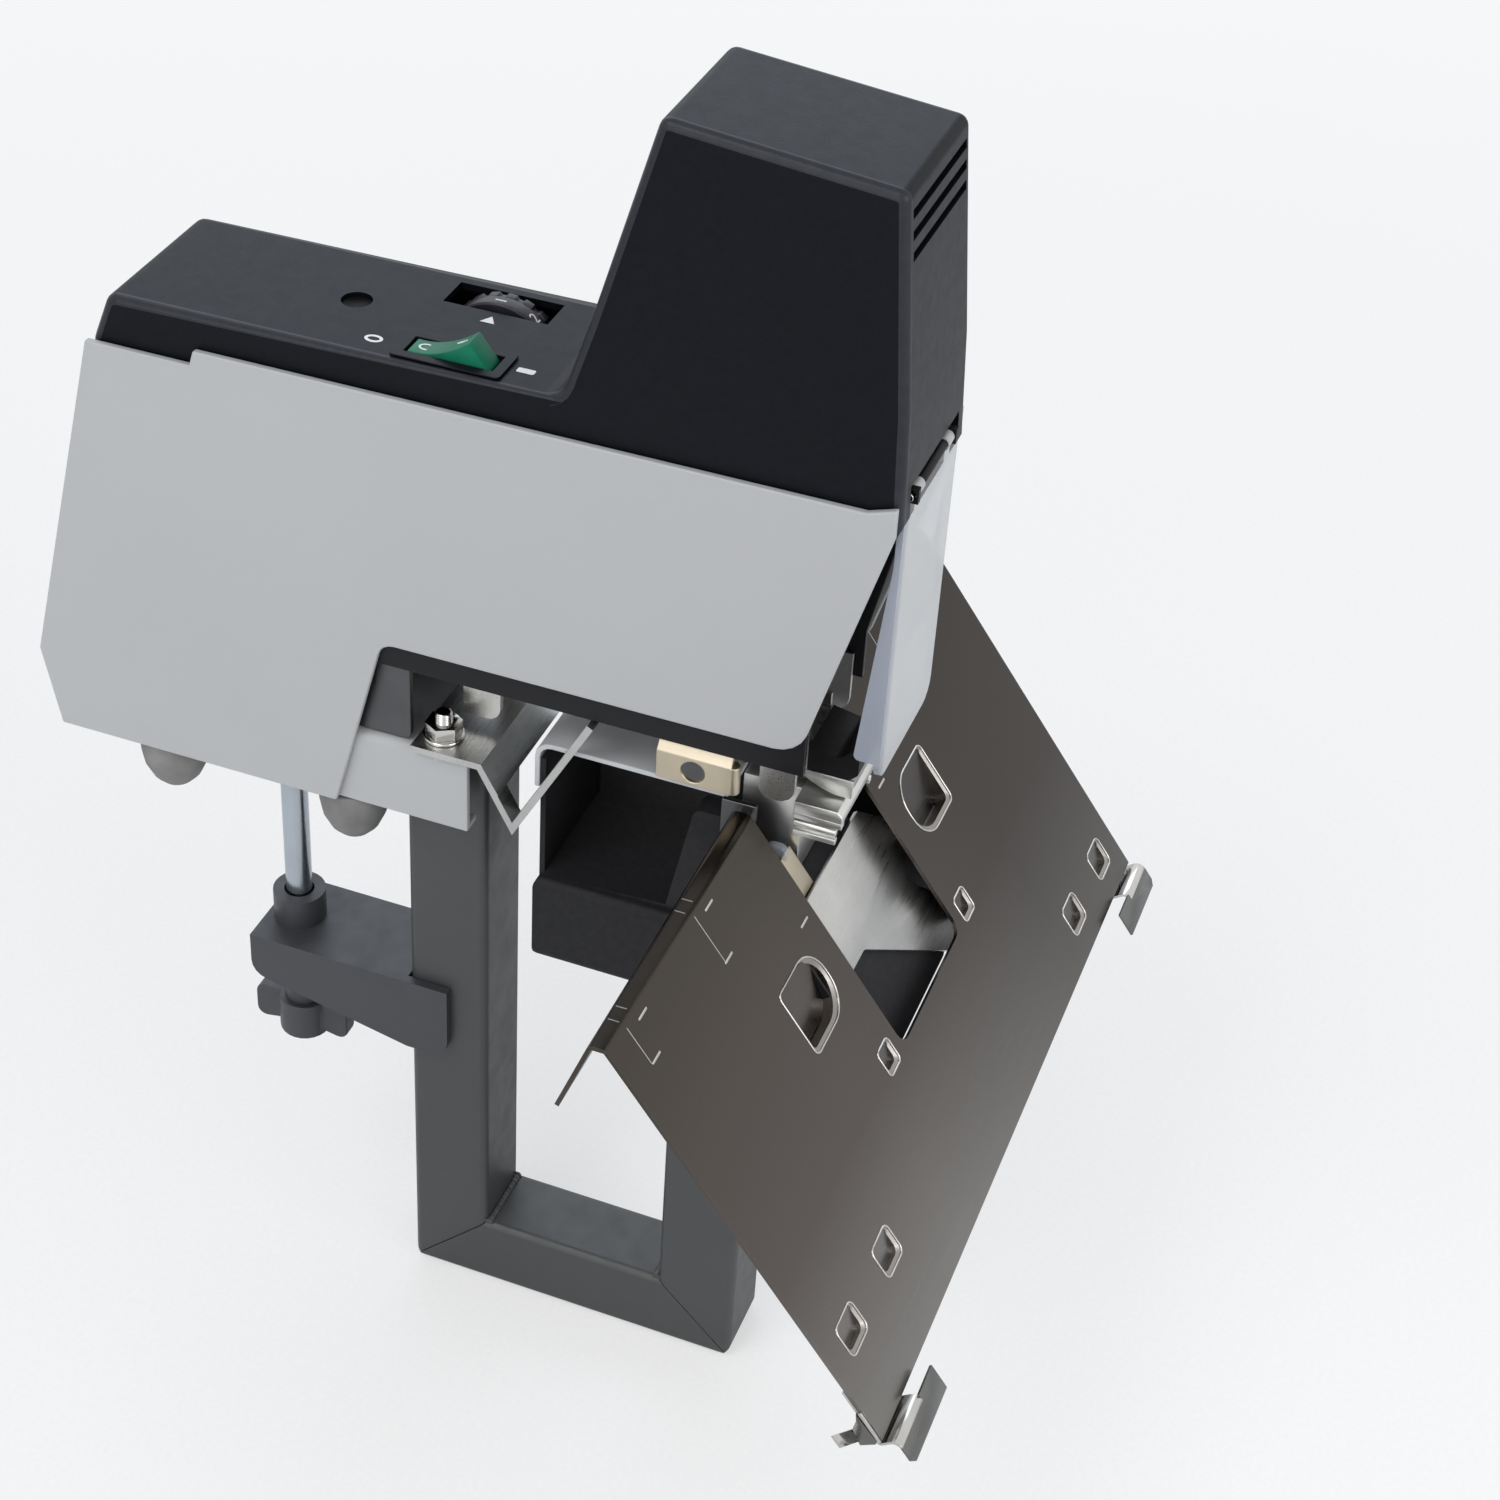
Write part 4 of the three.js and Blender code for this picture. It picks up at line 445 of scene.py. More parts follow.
def dress(node, material, width, segments=3, limit=CREASE, pick=None, bends=None, clamp=True,
          painted_highlight=None):
    """The CAD node with its outer edges rounded, which then stands for it.

    width is the radius in millimetres, limit the least turn of an edge in degrees, and pick
    a test for the edges that are rounded. bends is a pair of a wider radius and a test for
    the edges that get it. The last one, if given, paints a highlight on the rounded edges."""
    bm = cleaned(node)
    if bends:
        round_edges(bm, turning_edges(bm, 12, bends[1]), bends[0] * MM, 4)
    round_edges(bm, turning_edges(bm, limit, pick), width * MM, segments, clamp,
                1 if painted_highlight else -1)
    mesh = bpy.data.meshes.new(node)
    bm.to_mesh(mesh)
    bm.free()
    smooth(mesh)
    # slots of the faces: the rounded edges carry the painted highlight
    painted_light = [polygon.material_index for polygon in mesh.polygons]
    piece = made(node + "_shaped", mesh, material)  # which clears the slots of the faces
    if painted_highlight:
        mesh.materials.append(painted_highlight)
        mesh.polygons.foreach_set("material_index", painted_light)
    weigh_normals(piece)
    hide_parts(node)
    fitted(piece, body_of_node(node))


def dress_pair(stem, *finish):
    """Dresses the left and the right node of a pair."""
    for side in ("left", "right"):
        dress(stem + "_" + side, *finish)


def in_mm(box):
    """Low corner, high corner and middle of a box, in millimetres."""
    low, high = (corner / MM for corner in box)
    return low, high, (low + high) / 2


def circle(radius, sides):
    """Flat outline round the origin."""
    return [(radius * math.cos(2 * math.pi * i / sides), radius * math.sin(2 * math.pi * i / sides))
            for i in range(sides)]


def oval(long, wide):
    """Flat outline, long in y and wide in x."""
    return [(wide / 2 * x, long / 2 * y) for x, y in circle(1, 28)]


def rectangle(x0, x1, y0, y1):
    """Flat outline with its sides along x and y."""
    return [(x0, y0), (x1, y0), (x1, y1), (x0, y1)]


def ring_of(bm, points, z):
    """New corners over a flat outline, at one height."""
    return [bm.verts.new((x, y, z)) for x, y in points]


def bridge(bm, rings, closed=False):
    """Faces from each ring of corners to the next, where a ring of one corner is a point."""
    following = rings[1:] + (rings[:1] if closed else [])
    for a, b in zip(rings, following):
        count = max(len(a), len(b))
        for i in range(count):
            j = (i + 1) % count
            corners = (a[i % len(a)], a[j % len(a)], b[j % len(b)], b[i % len(b)])
            bm.faces.new(list(dict.fromkeys(corners)))


def facing_out(bm):
    """The closed mesh, with all its faces turned outwards."""
    bmesh.ops.recalc_face_normals(bm, faces=bm.faces)
    return bm


def prism(points, z0, z1):
    """Closed mesh between two heights over a flat outline, in millimetres."""
    bm = bmesh.new()
    low, high = ring_of(bm, points, z0), ring_of(bm, points, z1)
    bridge(bm, [low, high])
    bm.faces.new(low[::-1])
    bm.faces.new(high)
    return facing_out(bm)


def hollow(outer, inner, z0, z1):
    """Closed mesh between two heights over the band between two outlines, in millimetres."""
    bm = bmesh.new()
    corners = ((outer, z0), (outer, z1), (inner, z1), (inner, z0))
    bridge(bm, [ring_of(bm, outline, z) for outline, z in corners], closed=True)
    return facing_out(bm)


def lathed(profile, sides=40):
    """Closed turned mesh about z from (radius, height) pairs, in millimetres."""
    bm = bmesh.new()
    bridge(bm, [ring_of(bm, circle(radius, sides) if radius else [(0, 0)], height)
                for radius, height in profile])
    return facing_out(bm)


def piece_from(bm, name, material, body, place=AS_DRAWN, bevel=0.0, degrees=CREASE):
    """Turns a mesh in millimetres into a piece at its place in the row frame.

    degrees is the least turn of an edge that is kept as a crease, and rounded by bevel."""
    if bevel:
        sharp = [e for e in bm.edges if len(e.link_faces) == 2
                 and e.calc_face_angle(0) > math.radians(degrees)]
        round_edges(bm, sharp, bevel, 2)
    bm.transform(Matrix.Scale(MM, 4) @ place)
    mesh = bpy.data.meshes.new(name)
    bm.to_mesh(mesh)
    bm.free()
    smooth(mesh, degrees)
    return fitted(made(name, mesh, material), body)


def merged(*parts):
    """One mesh from several, each with its own place."""
    whole = bmesh.new()
    for bm, place in parts:
        bm.transform(place)
        mesh = bpy.data.meshes.new("part")
        bm.to_mesh(mesh)
        bm.free()
        whole.from_mesh(mesh)
        bpy.data.meshes.remove(mesh)
    return whole


def nought(long, wide, line, z0, z1):
    """Flat oval ring with lines of one width."""
    return hollow(oval(long, wide), oval(long - 2 * line, wide - 2 * line), z0, z1)


def swept(points, radius, sides, closed=False):
    """Round bead along a line of points, in millimetres, with one radius or one for each."""
    bm = bmesh.new()
    count = len(points)
    rings = []
    for i, point in enumerate(points):
        before = points[(i - 1) % count] if closed or i else point
        after = points[(i + 1) % count] if closed or i < count - 1 else point
        along = (Vector(after) - Vector(before)).normalized()
        upright = abs(along.z) > 0.99
        side = along.orthogonal() if upright else along.cross(Vector((0, 0, 1)))
        side.normalize()
        up = side.cross(along)
        size = radius[i] if isinstance(radius, list) else radius
        rings.append([bm.verts.new(Vector(point) + (side * x + up * y) * size)
                      for x, y in circle(1, sides)])
    bridge(bm, rings, closed)
    if not closed:
        bm.faces.new(rings[0][::-1])
        bm.faces.new(rings[-1])
    return facing_out(bm)


def at(x, y, z):
    """Place in millimetres."""
    return Matrix.Translation((x, y, z))


def turned(axis, degrees):
    """Turn about one axis of the row frame."""
    return Matrix.Rotation(math.radians(degrees), 4, axis)


# ---------------------------------------------------------------- dressed solids

def dress_body():
    """Covers, panel, clamp plates and switch body."""
    dress_pair("side_cover", GREY, 0.6)
    dress("rear_panel", GREY, 0.5)
    dress("base_channel", GREY, 0.4)
    dress("base_plate", BRUSHED, 0.3)
    # its rounded outer edges get a painted highlight
    dress("top_cover", SHELL, 2.4, 5, 20, outer_shell_edge, clamp=False, painted_highlight=SHELL_HIGHLIGHT)
    dress("power_inlet", MOULDED, 0.4)
    dress("fuse_holder", MOULDED, 0.4)
    dress("switch_body", SHELL, 0.2)


def outer_shell_edge(p):
    """Outer edges of the top cover: its long sides and tops, not its inner walls or openings."""
    inner_wall, rim_height = 22.2, 9
    return abs(p.x) > inner_wall and p.z > DECK_TOP - rim_height


def dress_stand():
    """Stand, table clamp and feet."""
    for name in ("rear_column", "front_column", "bottom_bar"):
        dress(name, STAND, 0.4)
    dress("clamp_arm", ARM, 0.8)
    dress("clamp_knob", ARM, 0.9)
    dress("clamp_spindle", ZINC, 0.4)
    dress_pair("foot_front", RUBBER, 0.8)
    dress_pair("foot_rear", RUBBER, 0.8)


def dress_front():
    """Table, nose and the frame behind them."""
    # lighter black: painted light in its shaded tray
    dress("lower_housing", TRAY_LIFTED, 1.4)
    dress("work_plate", PLATE, 0.4)
    dress("saddle_table", SHEET, 0.28, 2, bends=(1.3, on_ridge))
    dress_pair("table_bracket", DARK, 0.3)
    dress("anvil_tab", TAB, 0.4)
    dress("paper_stop", BRUSHED, 0.35, 2)
    dress("guard", GUARD, 0.3, 2)
    dress("guard_mount", MOULDED, 0.25)
    dress("guard_wire", CHROME, 0.2)
    dress("arm_frame", FRAME, 0.3)
    dress_pair("chassis", DARK, 0.25)
    dress_pair("side_bracket", CREAM, 0.35)
    dress_pair("nose_guide", BRUSHED, 0.2)


def on_ridge(p):
    """The two bends of the ridge, on the outside of the sheet."""
    close = 0.2
    return abs(p.z - RIDGE_Z) < close and abs(abs(p.y - RIDGE_Y) - RIDGE_HALF) < close


def paint_inside():
    """Parts that stay as they are and get their finish only."""
    finishes = {
        "control_board": BOARD, "solenoid_yoke": DARK, "coil_bobbin": MOULDED,
        "coil_winding": COPPER, "plunger": BRUSHED, "driver_blade": BRUSHED,
        "driver_guide": BRUSHED, "return_spring": ZINC, "magazine": BRUSHED,
        "magazine_drawer": BRUSHED, "drawer_handle": MOULDED, "staple_pusher": MOULDED,
        "magazine_carrier": BRUSHED, "pivot_pin": ZINC,
    }
    for name, material in finishes.items():
        mesh = NODES[name].data
        mesh.materials.clear()
        mesh.materials.append(material)


# ---------------------------------------------------------------- small details

def printed_marks():
    """White print on the deck: nought and bar of the switch, and the pointer of the dial."""
    pointer = [(-1.6, -2.0), (1.8, 0), (-1.6, 2.0)]
    low, high = -0.05, 0.06
    for name, mark, x, y in (
            ("nought", nought(5.0, 3.6, 0.85, low, high), -16.3, -24.3),
            ("bar", prism(rounded_bar(1.1, 2.4, 0.5), low, high), -15, -65.7),
            ("pointer", prism(pointer, low, high), 4.9, CONTROLS_Y)):
        piece_from(mark, "print_" + name, WHITE, "frame", at(x, y, DECK_TOP))


def rounded_outline(corners, steps=6):
    """Flat outline with rounded corners: each is x, y and a radius, or 0 for a sharp one."""
    points = []
    for i, (x, y, radius) in enumerate(corners):
        here = Vector((x, y))
        if not radius:
            points.append((x, y))
            continue
        back = (Vector(corners[i - 1][:2]) - here).normalized()
        onward = (Vector(corners[(i + 1) % len(corners)][:2]) - here).normalized()
        half = back.angle(onward) / 2
        centre = here + (back + onward).normalized() * (radius / math.sin(half))
        start = here + back * (radius / math.tan(half)) - centre
        end = here + onward * (radius / math.tan(half)) - centre
        first = math.atan2(start.y, start.x)
        turn = math.atan2(end.y, end.x) - first
        turn = (turn + math.pi) % (2 * math.pi) - math.pi
        for k in range(steps + 1):
            angle = first + turn * k / steps
            points.append((centre.x + radius * math.cos(angle),
                           centre.y + radius * math.sin(angle)))
    return points


def rounded_bar(half_x, half_y, radius, steps=6):
    """Flat bar round the origin with rounded corners."""
    corners = rectangle(-half_x, half_x, -half_y, half_y)
    return rounded_outline([(x, y, radius) for x, y in corners], steps)


def rocker():
    """Rocker with a hollow top, pressed down at its rear end, and its two marks."""
    x, half = -15.8, 3.55
    rear_y, rear_z, length, rise, dip = -34.9, 144.4, 17.1, 6.1, 0.5
    crown = [(rear_y - length * t, rear_z + rise * t ** 1.9 - dip * math.sin(math.pi * t))
             for t in (k / 12 for k in range(13))]
    below = [(-57.6, 143.2), (-56.4, 138.0), (-46.4, 133.4), (-37.0, 136.6)]
    # This turn mirrors, so the faces point inwards. The pale gloss of the top comes from that.
    turn = Matrix(((0, 0, -1, 0), (1, 0, 0, 0), (0, 1, 0, 0), (0, 0, 0, 1)))
    shape = piece_from(prism(crown + below, -x - half, -x + half), "rocker_shaped", GREEN,
                       "rocker", turn, bevel=0.45)
    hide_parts("switch_rocker")
    piece_from(nought(4.4, 3.1, 0.5, -0.05, 0.07), "rocker_nought", WHITE, "rocker",
               at(x, -38.9, 144.45))
    piece_from(prism(rounded_bar(0.28, 1.7, 0.2, 3), -0.12, 0.1), "rocker_tick", WHITE, "rocker",
               at(x, -48.8, 148.35) @ turned("X", -29))


def numeral(name, text, size, place):
    """White number of the dial, laid flat with its top towards +Y, then put in its place."""
    curve = bpy.data.curves.new(name, "FONT")
    curve.body = text
    curve.size = size
    curve.extrude = 0.06
    curve.align_x = "CENTER"
    curve.align_y = "CENTER"
    carrier = bpy.data.objects.new(name + "_line", curve)
    bpy.context.scene.collection.objects.link(carrier)
    graph = bpy.context.evaluated_depsgraph_get()
    mesh = bpy.data.meshes.new_from_object(carrier.evaluated_get(graph))
    bpy.data.objects.remove(carrier)
    bm = bmesh.new()
    bm.from_mesh(mesh)
    piece_from(bm, name, WHITE, "dial", place)


def ribbed_rim(radius, depth, ribs):
    """Round outline with broad ribs, each with sloping flanks."""
    points = []
    for i in range(ribs):
        for share, drop in ((0.0, 0), (0.5, 0), (0.62, depth), (0.88, depth)):
            angle = 2 * math.pi * (i + share) / ribs
            points.append(((radius - drop) * math.cos(angle), (radius - drop) * math.sin(angle)))
    return points


def dial():
    """Dial wheel: a smooth band for the numbers, broad ribs beside it, and its axle."""
    low, high, middle = in_mm(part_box("dial_wheel"))
    radius, axle_radius = (high.z - low.z) / 2, 2.2
    near, far, ribs_far = 11.1, 15.6, 18.1
    band = lathed([(0, near), (radius - 0.5, near), (radius, near + 0.4), (radius, far - 0.3),
                   (radius - 0.5, far), (0, far)], 72)
    grip = prism(ribbed_rim(radius - 0.1, 0.8, 20), far - 0.1, ribs_far)
    axle = lathed([(0, low.x), (axle_radius, low.x), (axle_radius, high.x), (0, high.x)], 24)
    whole = merged((band, AS_DRAWN), (grip, AS_DRAWN), (axle, AS_DRAWN))
    wheel = piece_from(whole, "dial_shaped", DIAL, "dial",
                       at(0, middle.y, middle.z) @ ACROSS, bevel=0.12)
    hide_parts("dial_wheel")


def dial_numbers():
    """Numbers round the rim of the dial, which show one by one in its window."""
    centre, rim, step = at(13.2, CONTROLS_Y + 0.3, 129.1), at(0, 0, 16.0), 36
    for number in range(1, 9):
        place = centre @ turned("X", step * (number - 1)) @ rim
        numeral("dial_number_" + str(number), str(number), 4.6, place)


def deck_lens():
    """Small dark lens in the hole of the deck."""
    lens = lathed([(0, -1.9), (3.9, -1.9), (3.9, -1.2), (3.4, -1.5), (1.8, -1.6), (0, -1.62)], 32)
    piece_from(lens, "deck_lens", LENS, "frame", at(0, -11.45, DECK_TOP))


def stop_nut(side):
    """Washer, hexagon nut and threaded stud that clamp the paper stop."""
    name = "stop_screw_" + side
    low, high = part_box(name)
    bottom, top = low.z / MM, high.z / MM  # not rounded as a vector, so the thread ends as meant
    seat, across_flats = 26.5, 9.2
    washer = lathed([(0, seat + 0.35), (5.6, seat + 0.35), (5.9, seat + 0.6),
                     (5.9, seat + 1.2), (5.6, seat + 1.45), (0, seat + 1.45)])
    nut = prism(circle(across_flats / math.sqrt(3), 6), seat + 1.5, seat + 5.3)
    crest, root, pitch = 2.6, 2.25, 0.5
    thread = [(0, bottom + 0.4), (5.5, bottom + 0.4), (5.5, bottom + 2.2), (crest, bottom + 2.2)]
    z = bottom + 2.6
    while z < top - 0.9:
        thread += [(crest, z), (root, z + pitch / 2)]
        z += pitch
    thread += [(2.5, top - 0.8), (2.0, top - 0.2), (0, top)]
    place = at((low.x + high.x) / (2 * MM), (low.y + high.y) / (2 * MM), 0)
    whole = merged((washer, place), (nut, place), (lathed(thread, 24), place))
    piece = piece_from(whole, "stop_nut_" + side, CHROME, "paper_stop",
                       bevel=0.15)
    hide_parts(name)


def weld_bead(name, start, end, radius):
    """Lumpy fillet of weld metal, with the ripples of its run."""
    step = 0.45
    steps = int(math.dist(start, end) / step)
    line = [Vector(start).lerp(Vector(end), i / steps) for i in range(steps)]
    sizes = [radius * (0.93 + 0.15 * math.sin(i * 2.1) * math.cos(i * 0.37 + 1))
             for i in range(steps)]
    piece_from(swept(line, sizes, 12), name, STAND, "frame", degrees=60)


def stand_welds():
    """Weld across each inner corner of the stand, over its bottom bar."""
    half, z = 11.6, -168.0
    for name, y in (("weld_rear", -54.1), ("weld_front", -111.2)):
        weld_bead(name, (-half, y, z), (half, y, z), 1.5)


def on_panel(x, run):
    """Frame on the saddle panel: x across, y up its slope and z out of its face."""
    spot = at(x, RIDGE_Y - RIDGE_HALF - run * math.cos(PANEL_SLOPE),
              RIDGE_Z - run * math.sin(PANEL_SLOPE))
    return spot @ Matrix.Rotation(PANEL_SLOPE, 4, "X")


def front_plate():
    """Bright plate behind the cut-out, as wide as it, with a notch in its far edge and a ledge."""
    face, thickness, ledge_thickness = -PLATE_DEPTH, 1.5, 1.2
    corners = [(-29, -35.5, 0), (-29, -57.4, 3), (-9.5, -57.5, 3), (24.2, -84.6, 3),
               (36.8, -85.2, 0), (36.8, -70, 0), (33, -69.1, 2), (28.6, -64, 2), (26, -59, 2),
               (28, -55.8, 2), (36.8, -53.5, 0), (36.8, -46.2, 0), (23.5, -33, 0), (-20, -33, 0)]
    plate = piece_from(prism(rounded_outline(corners, 5), face - thickness, face),
                       "front_plate_shaped", BRUSHED, "frame", on_panel(0, 0), bevel=0.2)
    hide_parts("front_plate")
    ledge = prism(rectangle(-27, -10.2, -32.6, -20), face - 2 * ledge_thickness,
                  face - ledge_thickness)
    piece_from(ledge, "front_plate_ledge", CREAM, "frame", on_panel(0, 0), bevel=0.2)


def anvil():
    """Anvil: a thin grooved head with a rolled skirt on each side, and a narrower block behind."""
    head_end, head_low, block_half, skirt = -144.2, 30.3, 8.6, 2.4
    lip_low, roll_middle, web_low, foot_low, foot_high = 28.4, 26.3, 22.6, 22.5, 24.2
    head = cleaned("anvil")
    for spot, normal in (((0, head_end * MM, 0), (0, 1, 0)), ((0, 0, head_low * MM), (0, 0, -1))):
        bmesh.ops.bisect_plane(head, geom=head.verts[:] + head.edges[:] + head.faces[:],
                               plane_co=spot, plane_no=normal, clear_outer=True)
        bmesh.ops.holes_fill(head, edges=[e for e in head.edges if e.is_boundary], sides=0)
    head.transform(Matrix.Scale(1 / MM, 4))
    low, high, _ = in_mm(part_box("anvil"))
    block = prism(rectangle(-block_half, block_half, head_end + 0.1, high.y), low.z, high.z - 1)
    parts = [(head, AS_DRAWN), (block, AS_DRAWN)]
    for side in (-1, 1):
        outer, inner = high.x * side, (high.x - skirt) * side
        lip = rectangle(outer, inner, lip_low, head_low + 0.2)
        roll = [(outer - side * (0.3 + 0.9 * (1 - math.sin(a))), roll_middle - 1.1 * math.cos(a))
                for a in (0.1, 0.6, 1.1, 1.57, 2.04, 2.54, 3.04)]
        roll += [(inner, roll_middle + 1.1), (inner, roll_middle - 1.1)]
        web = rectangle(inner, inner + side * 0.9, web_low, lip_low + 0.6)
        foot = rectangle(inner, outer - side * 0.5, foot_low, foot_high)
        for outline, back in ((lip, 0), (roll, 1.6), (web, 2.0), (foot, 1.6)):
            parts.append((prism(outline, -head_end - 0.05, -low.y - back), turned("X", 90)))
    piece = piece_from(merged(*parts), "anvil_shaped", ANVIL, "frame",
                       bevel=0.2)
    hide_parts("anvil")


def table_cheeks():
    """Painted cheek under the sheet on each side of the cut-out: its depth out of the panel,
    then its run."""
    outline = [(-1.35, 26), (-24, 36), (-24, 76), (-1.35, 84)]
    turn = Matrix(((0, 0, 1, 0), (0, -1, 0, 0), (1, 0, 0, 0), (0, 0, 0, 1)))
    for side, x in (("left", -39.4), ("right", 38.4)):
        piece_from(prism(outline, x, x + 1), "table_cheek_" + side, FRAME, "frame",
                   on_panel(0, 0) @ turn, bevel=0.2)


def guard_sleeve():
    """Dark sleeve on the guard's wire, between the two eyes of the guard."""
    _, _, middle = in_mm(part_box("guard_wire"))
    half = 11.0
    tube = hollow(circle(1.5, 24), circle(1.22, 24), -half, half)
    piece_from(tube, "guard_sleeve", MOULDED, body_of_node("guard_wire"),
               at(0, middle.y, middle.z) @ ACROSS, bevel=0.08)


def magazine_shoe():
    """Pale nose plate on each side of the magazine, rounded off below."""
    arc = [(-144.8 - 13.0 * t, 38.2 - 3.4 * math.sin(math.pi * min(0.62 * t, 0.5)))
           for t in (k / 10 for k in range(11))]
    outline = arc + [(-158.2, 40.7), (-144.8, 40.7)]
    thickness = 0.8
    for side, x in (("left", -10.2), ("right", 9.4)):
        piece_from(prism(outline, x, x + thickness), "magazine_shoe_" + side, ANVIL,
                   body_of_node("magazine"), ACROSS, bevel=0.2)


def strip_outline(line, thickness):
    """Outline of a folded sheet: its middle line, set out to both sides."""
    near, far = [], []
    for i, (x, y) in enumerate(line):
        before = Vector(line[max(i - 1, 0)])
        after = Vector(line[min(i + 1, len(line) - 1)])
        along = (after - before).normalized()
        side = Vector((-along.y, along.x)) * thickness / 2
        near.append((x + side.x, y + side.y))
        far.append((x - side.x, y - side.y))
    return near + far[::-1]


def table_stop(side):
    """Folded stop at the table's foot: hook round the edge with a runner under the sheet, lip
    in front, cheek and tab behind. The lip and cheek take a darker copy of the steel: a
    painted dark reflection."""
    name = "table_stop_" + ("left" if side < 0 else "right")
    start, sheet = -TABLE_HALF, 0.8
    neck_end, lip_end, low = start + 16.7, start + 27.3, -9.6
    hook = [(7.2, -1.95), (-0.6, -1.95)]
    hook += [(-0.6 - 0.7 * math.sin(a), -1.25 - 0.7 * math.cos(a)) for a in (0.5, 1.1, 1.57)]
    hook += [(-1.3, 1.3)]
    hook += [(-1.3 - 2.3 * (1 - math.cos(a)), 1.3 + 2.3 * math.sin(a))
             for a in (0.3, 0.6, 0.9, 1.2, 1.57)]
    cheek = [(0.2, -1.5), (-0.6, -2.4), (0, -6.9), (5.4, -5.9), (7.6, -3.4), (9.9, -2.0)]
    tab = [(start + 0.2, 0.8), (start + 0.2, 5.0), (start - 7.2, 10.2), (start - 7.2, 6.0)]
    lip = [(start, -3.5), (start, low + 1.6), (start + 1.6, low), (lip_end, low), (lip_end, -1.6),
           (neck_end, -1.6), (neck_end, -3.5)]
    runner = rectangle(start + 0.2, start + 7.6, 6.6, 16.6)
    edge = rectangle(start - 0.6, start - 0.05, -0.2, 10)
    bright = merged((prism(strip_outline(hook, sheet), start, neck_end), ACROSS),
                    (prism(runner, -2.35, -2.35 + sheet), AS_DRAWN),
                    (prism(tab, -6.9, -6.9 + sheet), AS_DRAWN),
                    (prism(edge, -1.3, -0.3), AS_DRAWN))
    # lip and cheek in the darker steel: a painted dark reflection
    darkened = merged((prism(lip, 3.2, 3.2 + sheet), AS_DRAWN),
                  (prism(cheek, start - 0.5, start - 0.5 + sheet), ACROSS))
    for mesh, ending, material in ((bright, "_hook", CHROME), (darkened, "_lip", STOP_DARKENED)):
        if side > 0:
            mesh.transform(Matrix.Diagonal((-1, 1, 1, 1)))
            bmesh.ops.reverse_faces(mesh, faces=mesh.faces)
        piece = piece_from(mesh, name + ending, material, body_of_node(name),
                           on_panel(0, FOOT_RUN), bevel=0.12)
        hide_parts(name)


def opening_outline(x, width, length, radius, nose, inset=0.0):
    """Edge of a pressed opening, drawn in by inset; nose is the radius towards the middle."""
    half = (width / 2 - inset) * (1 if x < 0 else -1)
    upper, lower = -inset, inset - length
    return rounded_outline([(-half, lower, radius), (half, lower, nose), (half, upper, nose),
                            (-half, upper, radius)], 8)


def opening_rim(name, x, run, *shape):
    """Polished lip along the edge of a pressed opening."""
    line = [(px, py, 0.02) for px, py in opening_outline(x, *shape)]
    piece_from(swept(line, 0.3, 8, closed=True), name, CHROME, "frame",
               on_panel(x, run), degrees=60)


def scoop(name, x, run, *shape):
    """Drawn wall between the edge of a pressed opening and its sunk tongue."""
    fall = math.tan(math.radians(13))
    bm = bmesh.new()
    rings = []
    for inset, drop, sunk in ((0.06, 0.15, 0), (0.06, 1.5, fall), (1.1, 1.5, fall), (1.1, 0.75, 0)):
        rings.append([bm.verts.new((px, py, min(py * sunk - drop, -drop)))
                      for px, py in opening_outline(x, *shape, inset)])
    bridge(bm, rings, closed=True)
    piece_from(facing_out(bm), name, SCOOP, "frame",
               on_panel(x, run), degrees=50)


def panel_rims():
    """Rims and walls of the pressed openings: width, length and the two radii of each kind."""
    moon, pane, slit = (23, 20, 2, 9), (8, 8, 1.5, 1.5), (11.5, 9.6, 2, 2)
    places = [
        ("moon_left", -47.7, 36, moon), ("moon_right", 47.7, 36, moon),
        ("pane_left", -34.5, 73, pane), ("pane_right", 34.5, 73, pane),
        ("bridge_left_in", -81, 99.8, slit), ("bridge_left_out", -109.5, 99.8, slit),
        ("bridge_right_in", 81, 112, slit), ("bridge_right_out", 109.5, 112, slit),
    ]
    for name, x, run, shape in places:
        opening_rim("rim_" + name, x, run, *shape)
        scoop("scoop_" + name, x, run, *shape)


def panel_ticks():
    """Embossed dashes and scribed lines of the paper sizes, with no lettering."""
    dashes = [(61.5, 3.5), (66.8, 16.7), (32.5, 31.7), (105.8, 3.3), (110.9, 13.1)]
    parts, lines = [], []
    for side in (-1, 1):
        for x, run in dashes:
            parts.append((prism(rounded_bar(2.5, 0.35, 0.3, 3), -0.05, 0.16),
                          on_panel(side * x, run)))
        for x, start, end in ((68.7, 1.6, 16.4), (113.4, 1.6, 12.8)):
            lines.append((prism(rectangle(-0.12, 0.12, 0, end - start), -0.05, 0.03),
                          on_panel(side * x, end)))
        for x in (65, 70, 108.5, 113.5):
            lines.append((prism(rectangle(-0.15, 0.15, -1.3, 1.6), -0.05, 0.04),
                          at(side * x, RIDGE_Y, RIDGE_Z)))
    piece_from(merged(*parts), "panel_dashes", CHROME, "frame", bevel=0.06)
    piece_from(merged(*lines), "panel_lines", CHROME, "frame")


dress_body()
dress_stand()
dress_front()
paint_inside()
printed_marks()
rocker()
dial()
dial_numbers()
deck_lens()
stop_nut("left")
stop_nut("right")
table_stop(-1)
table_stop(1)
front_plate()
anvil()
magazine_shoe()
table_cheeks()
guard_sleeve()
stand_welds()
panel_rims()
panel_ticks()


# ---------------------------------------------------------------- studio

def studio_floor():
    """Wide floor just under the stand."""
    bm = bmesh.new()
    bmesh.ops.create_grid(bm, x_segments=4, y_segments=4, size=8)
    mesh = bpy.data.meshes.new("studio_floor")
    bm.to_mesh(mesh)
    bm.free()
    floor = made("studio_floor", mesh, floor_paper())
    floor.location = (0, 0, (FLOOR_Z - 0.3) * MM)


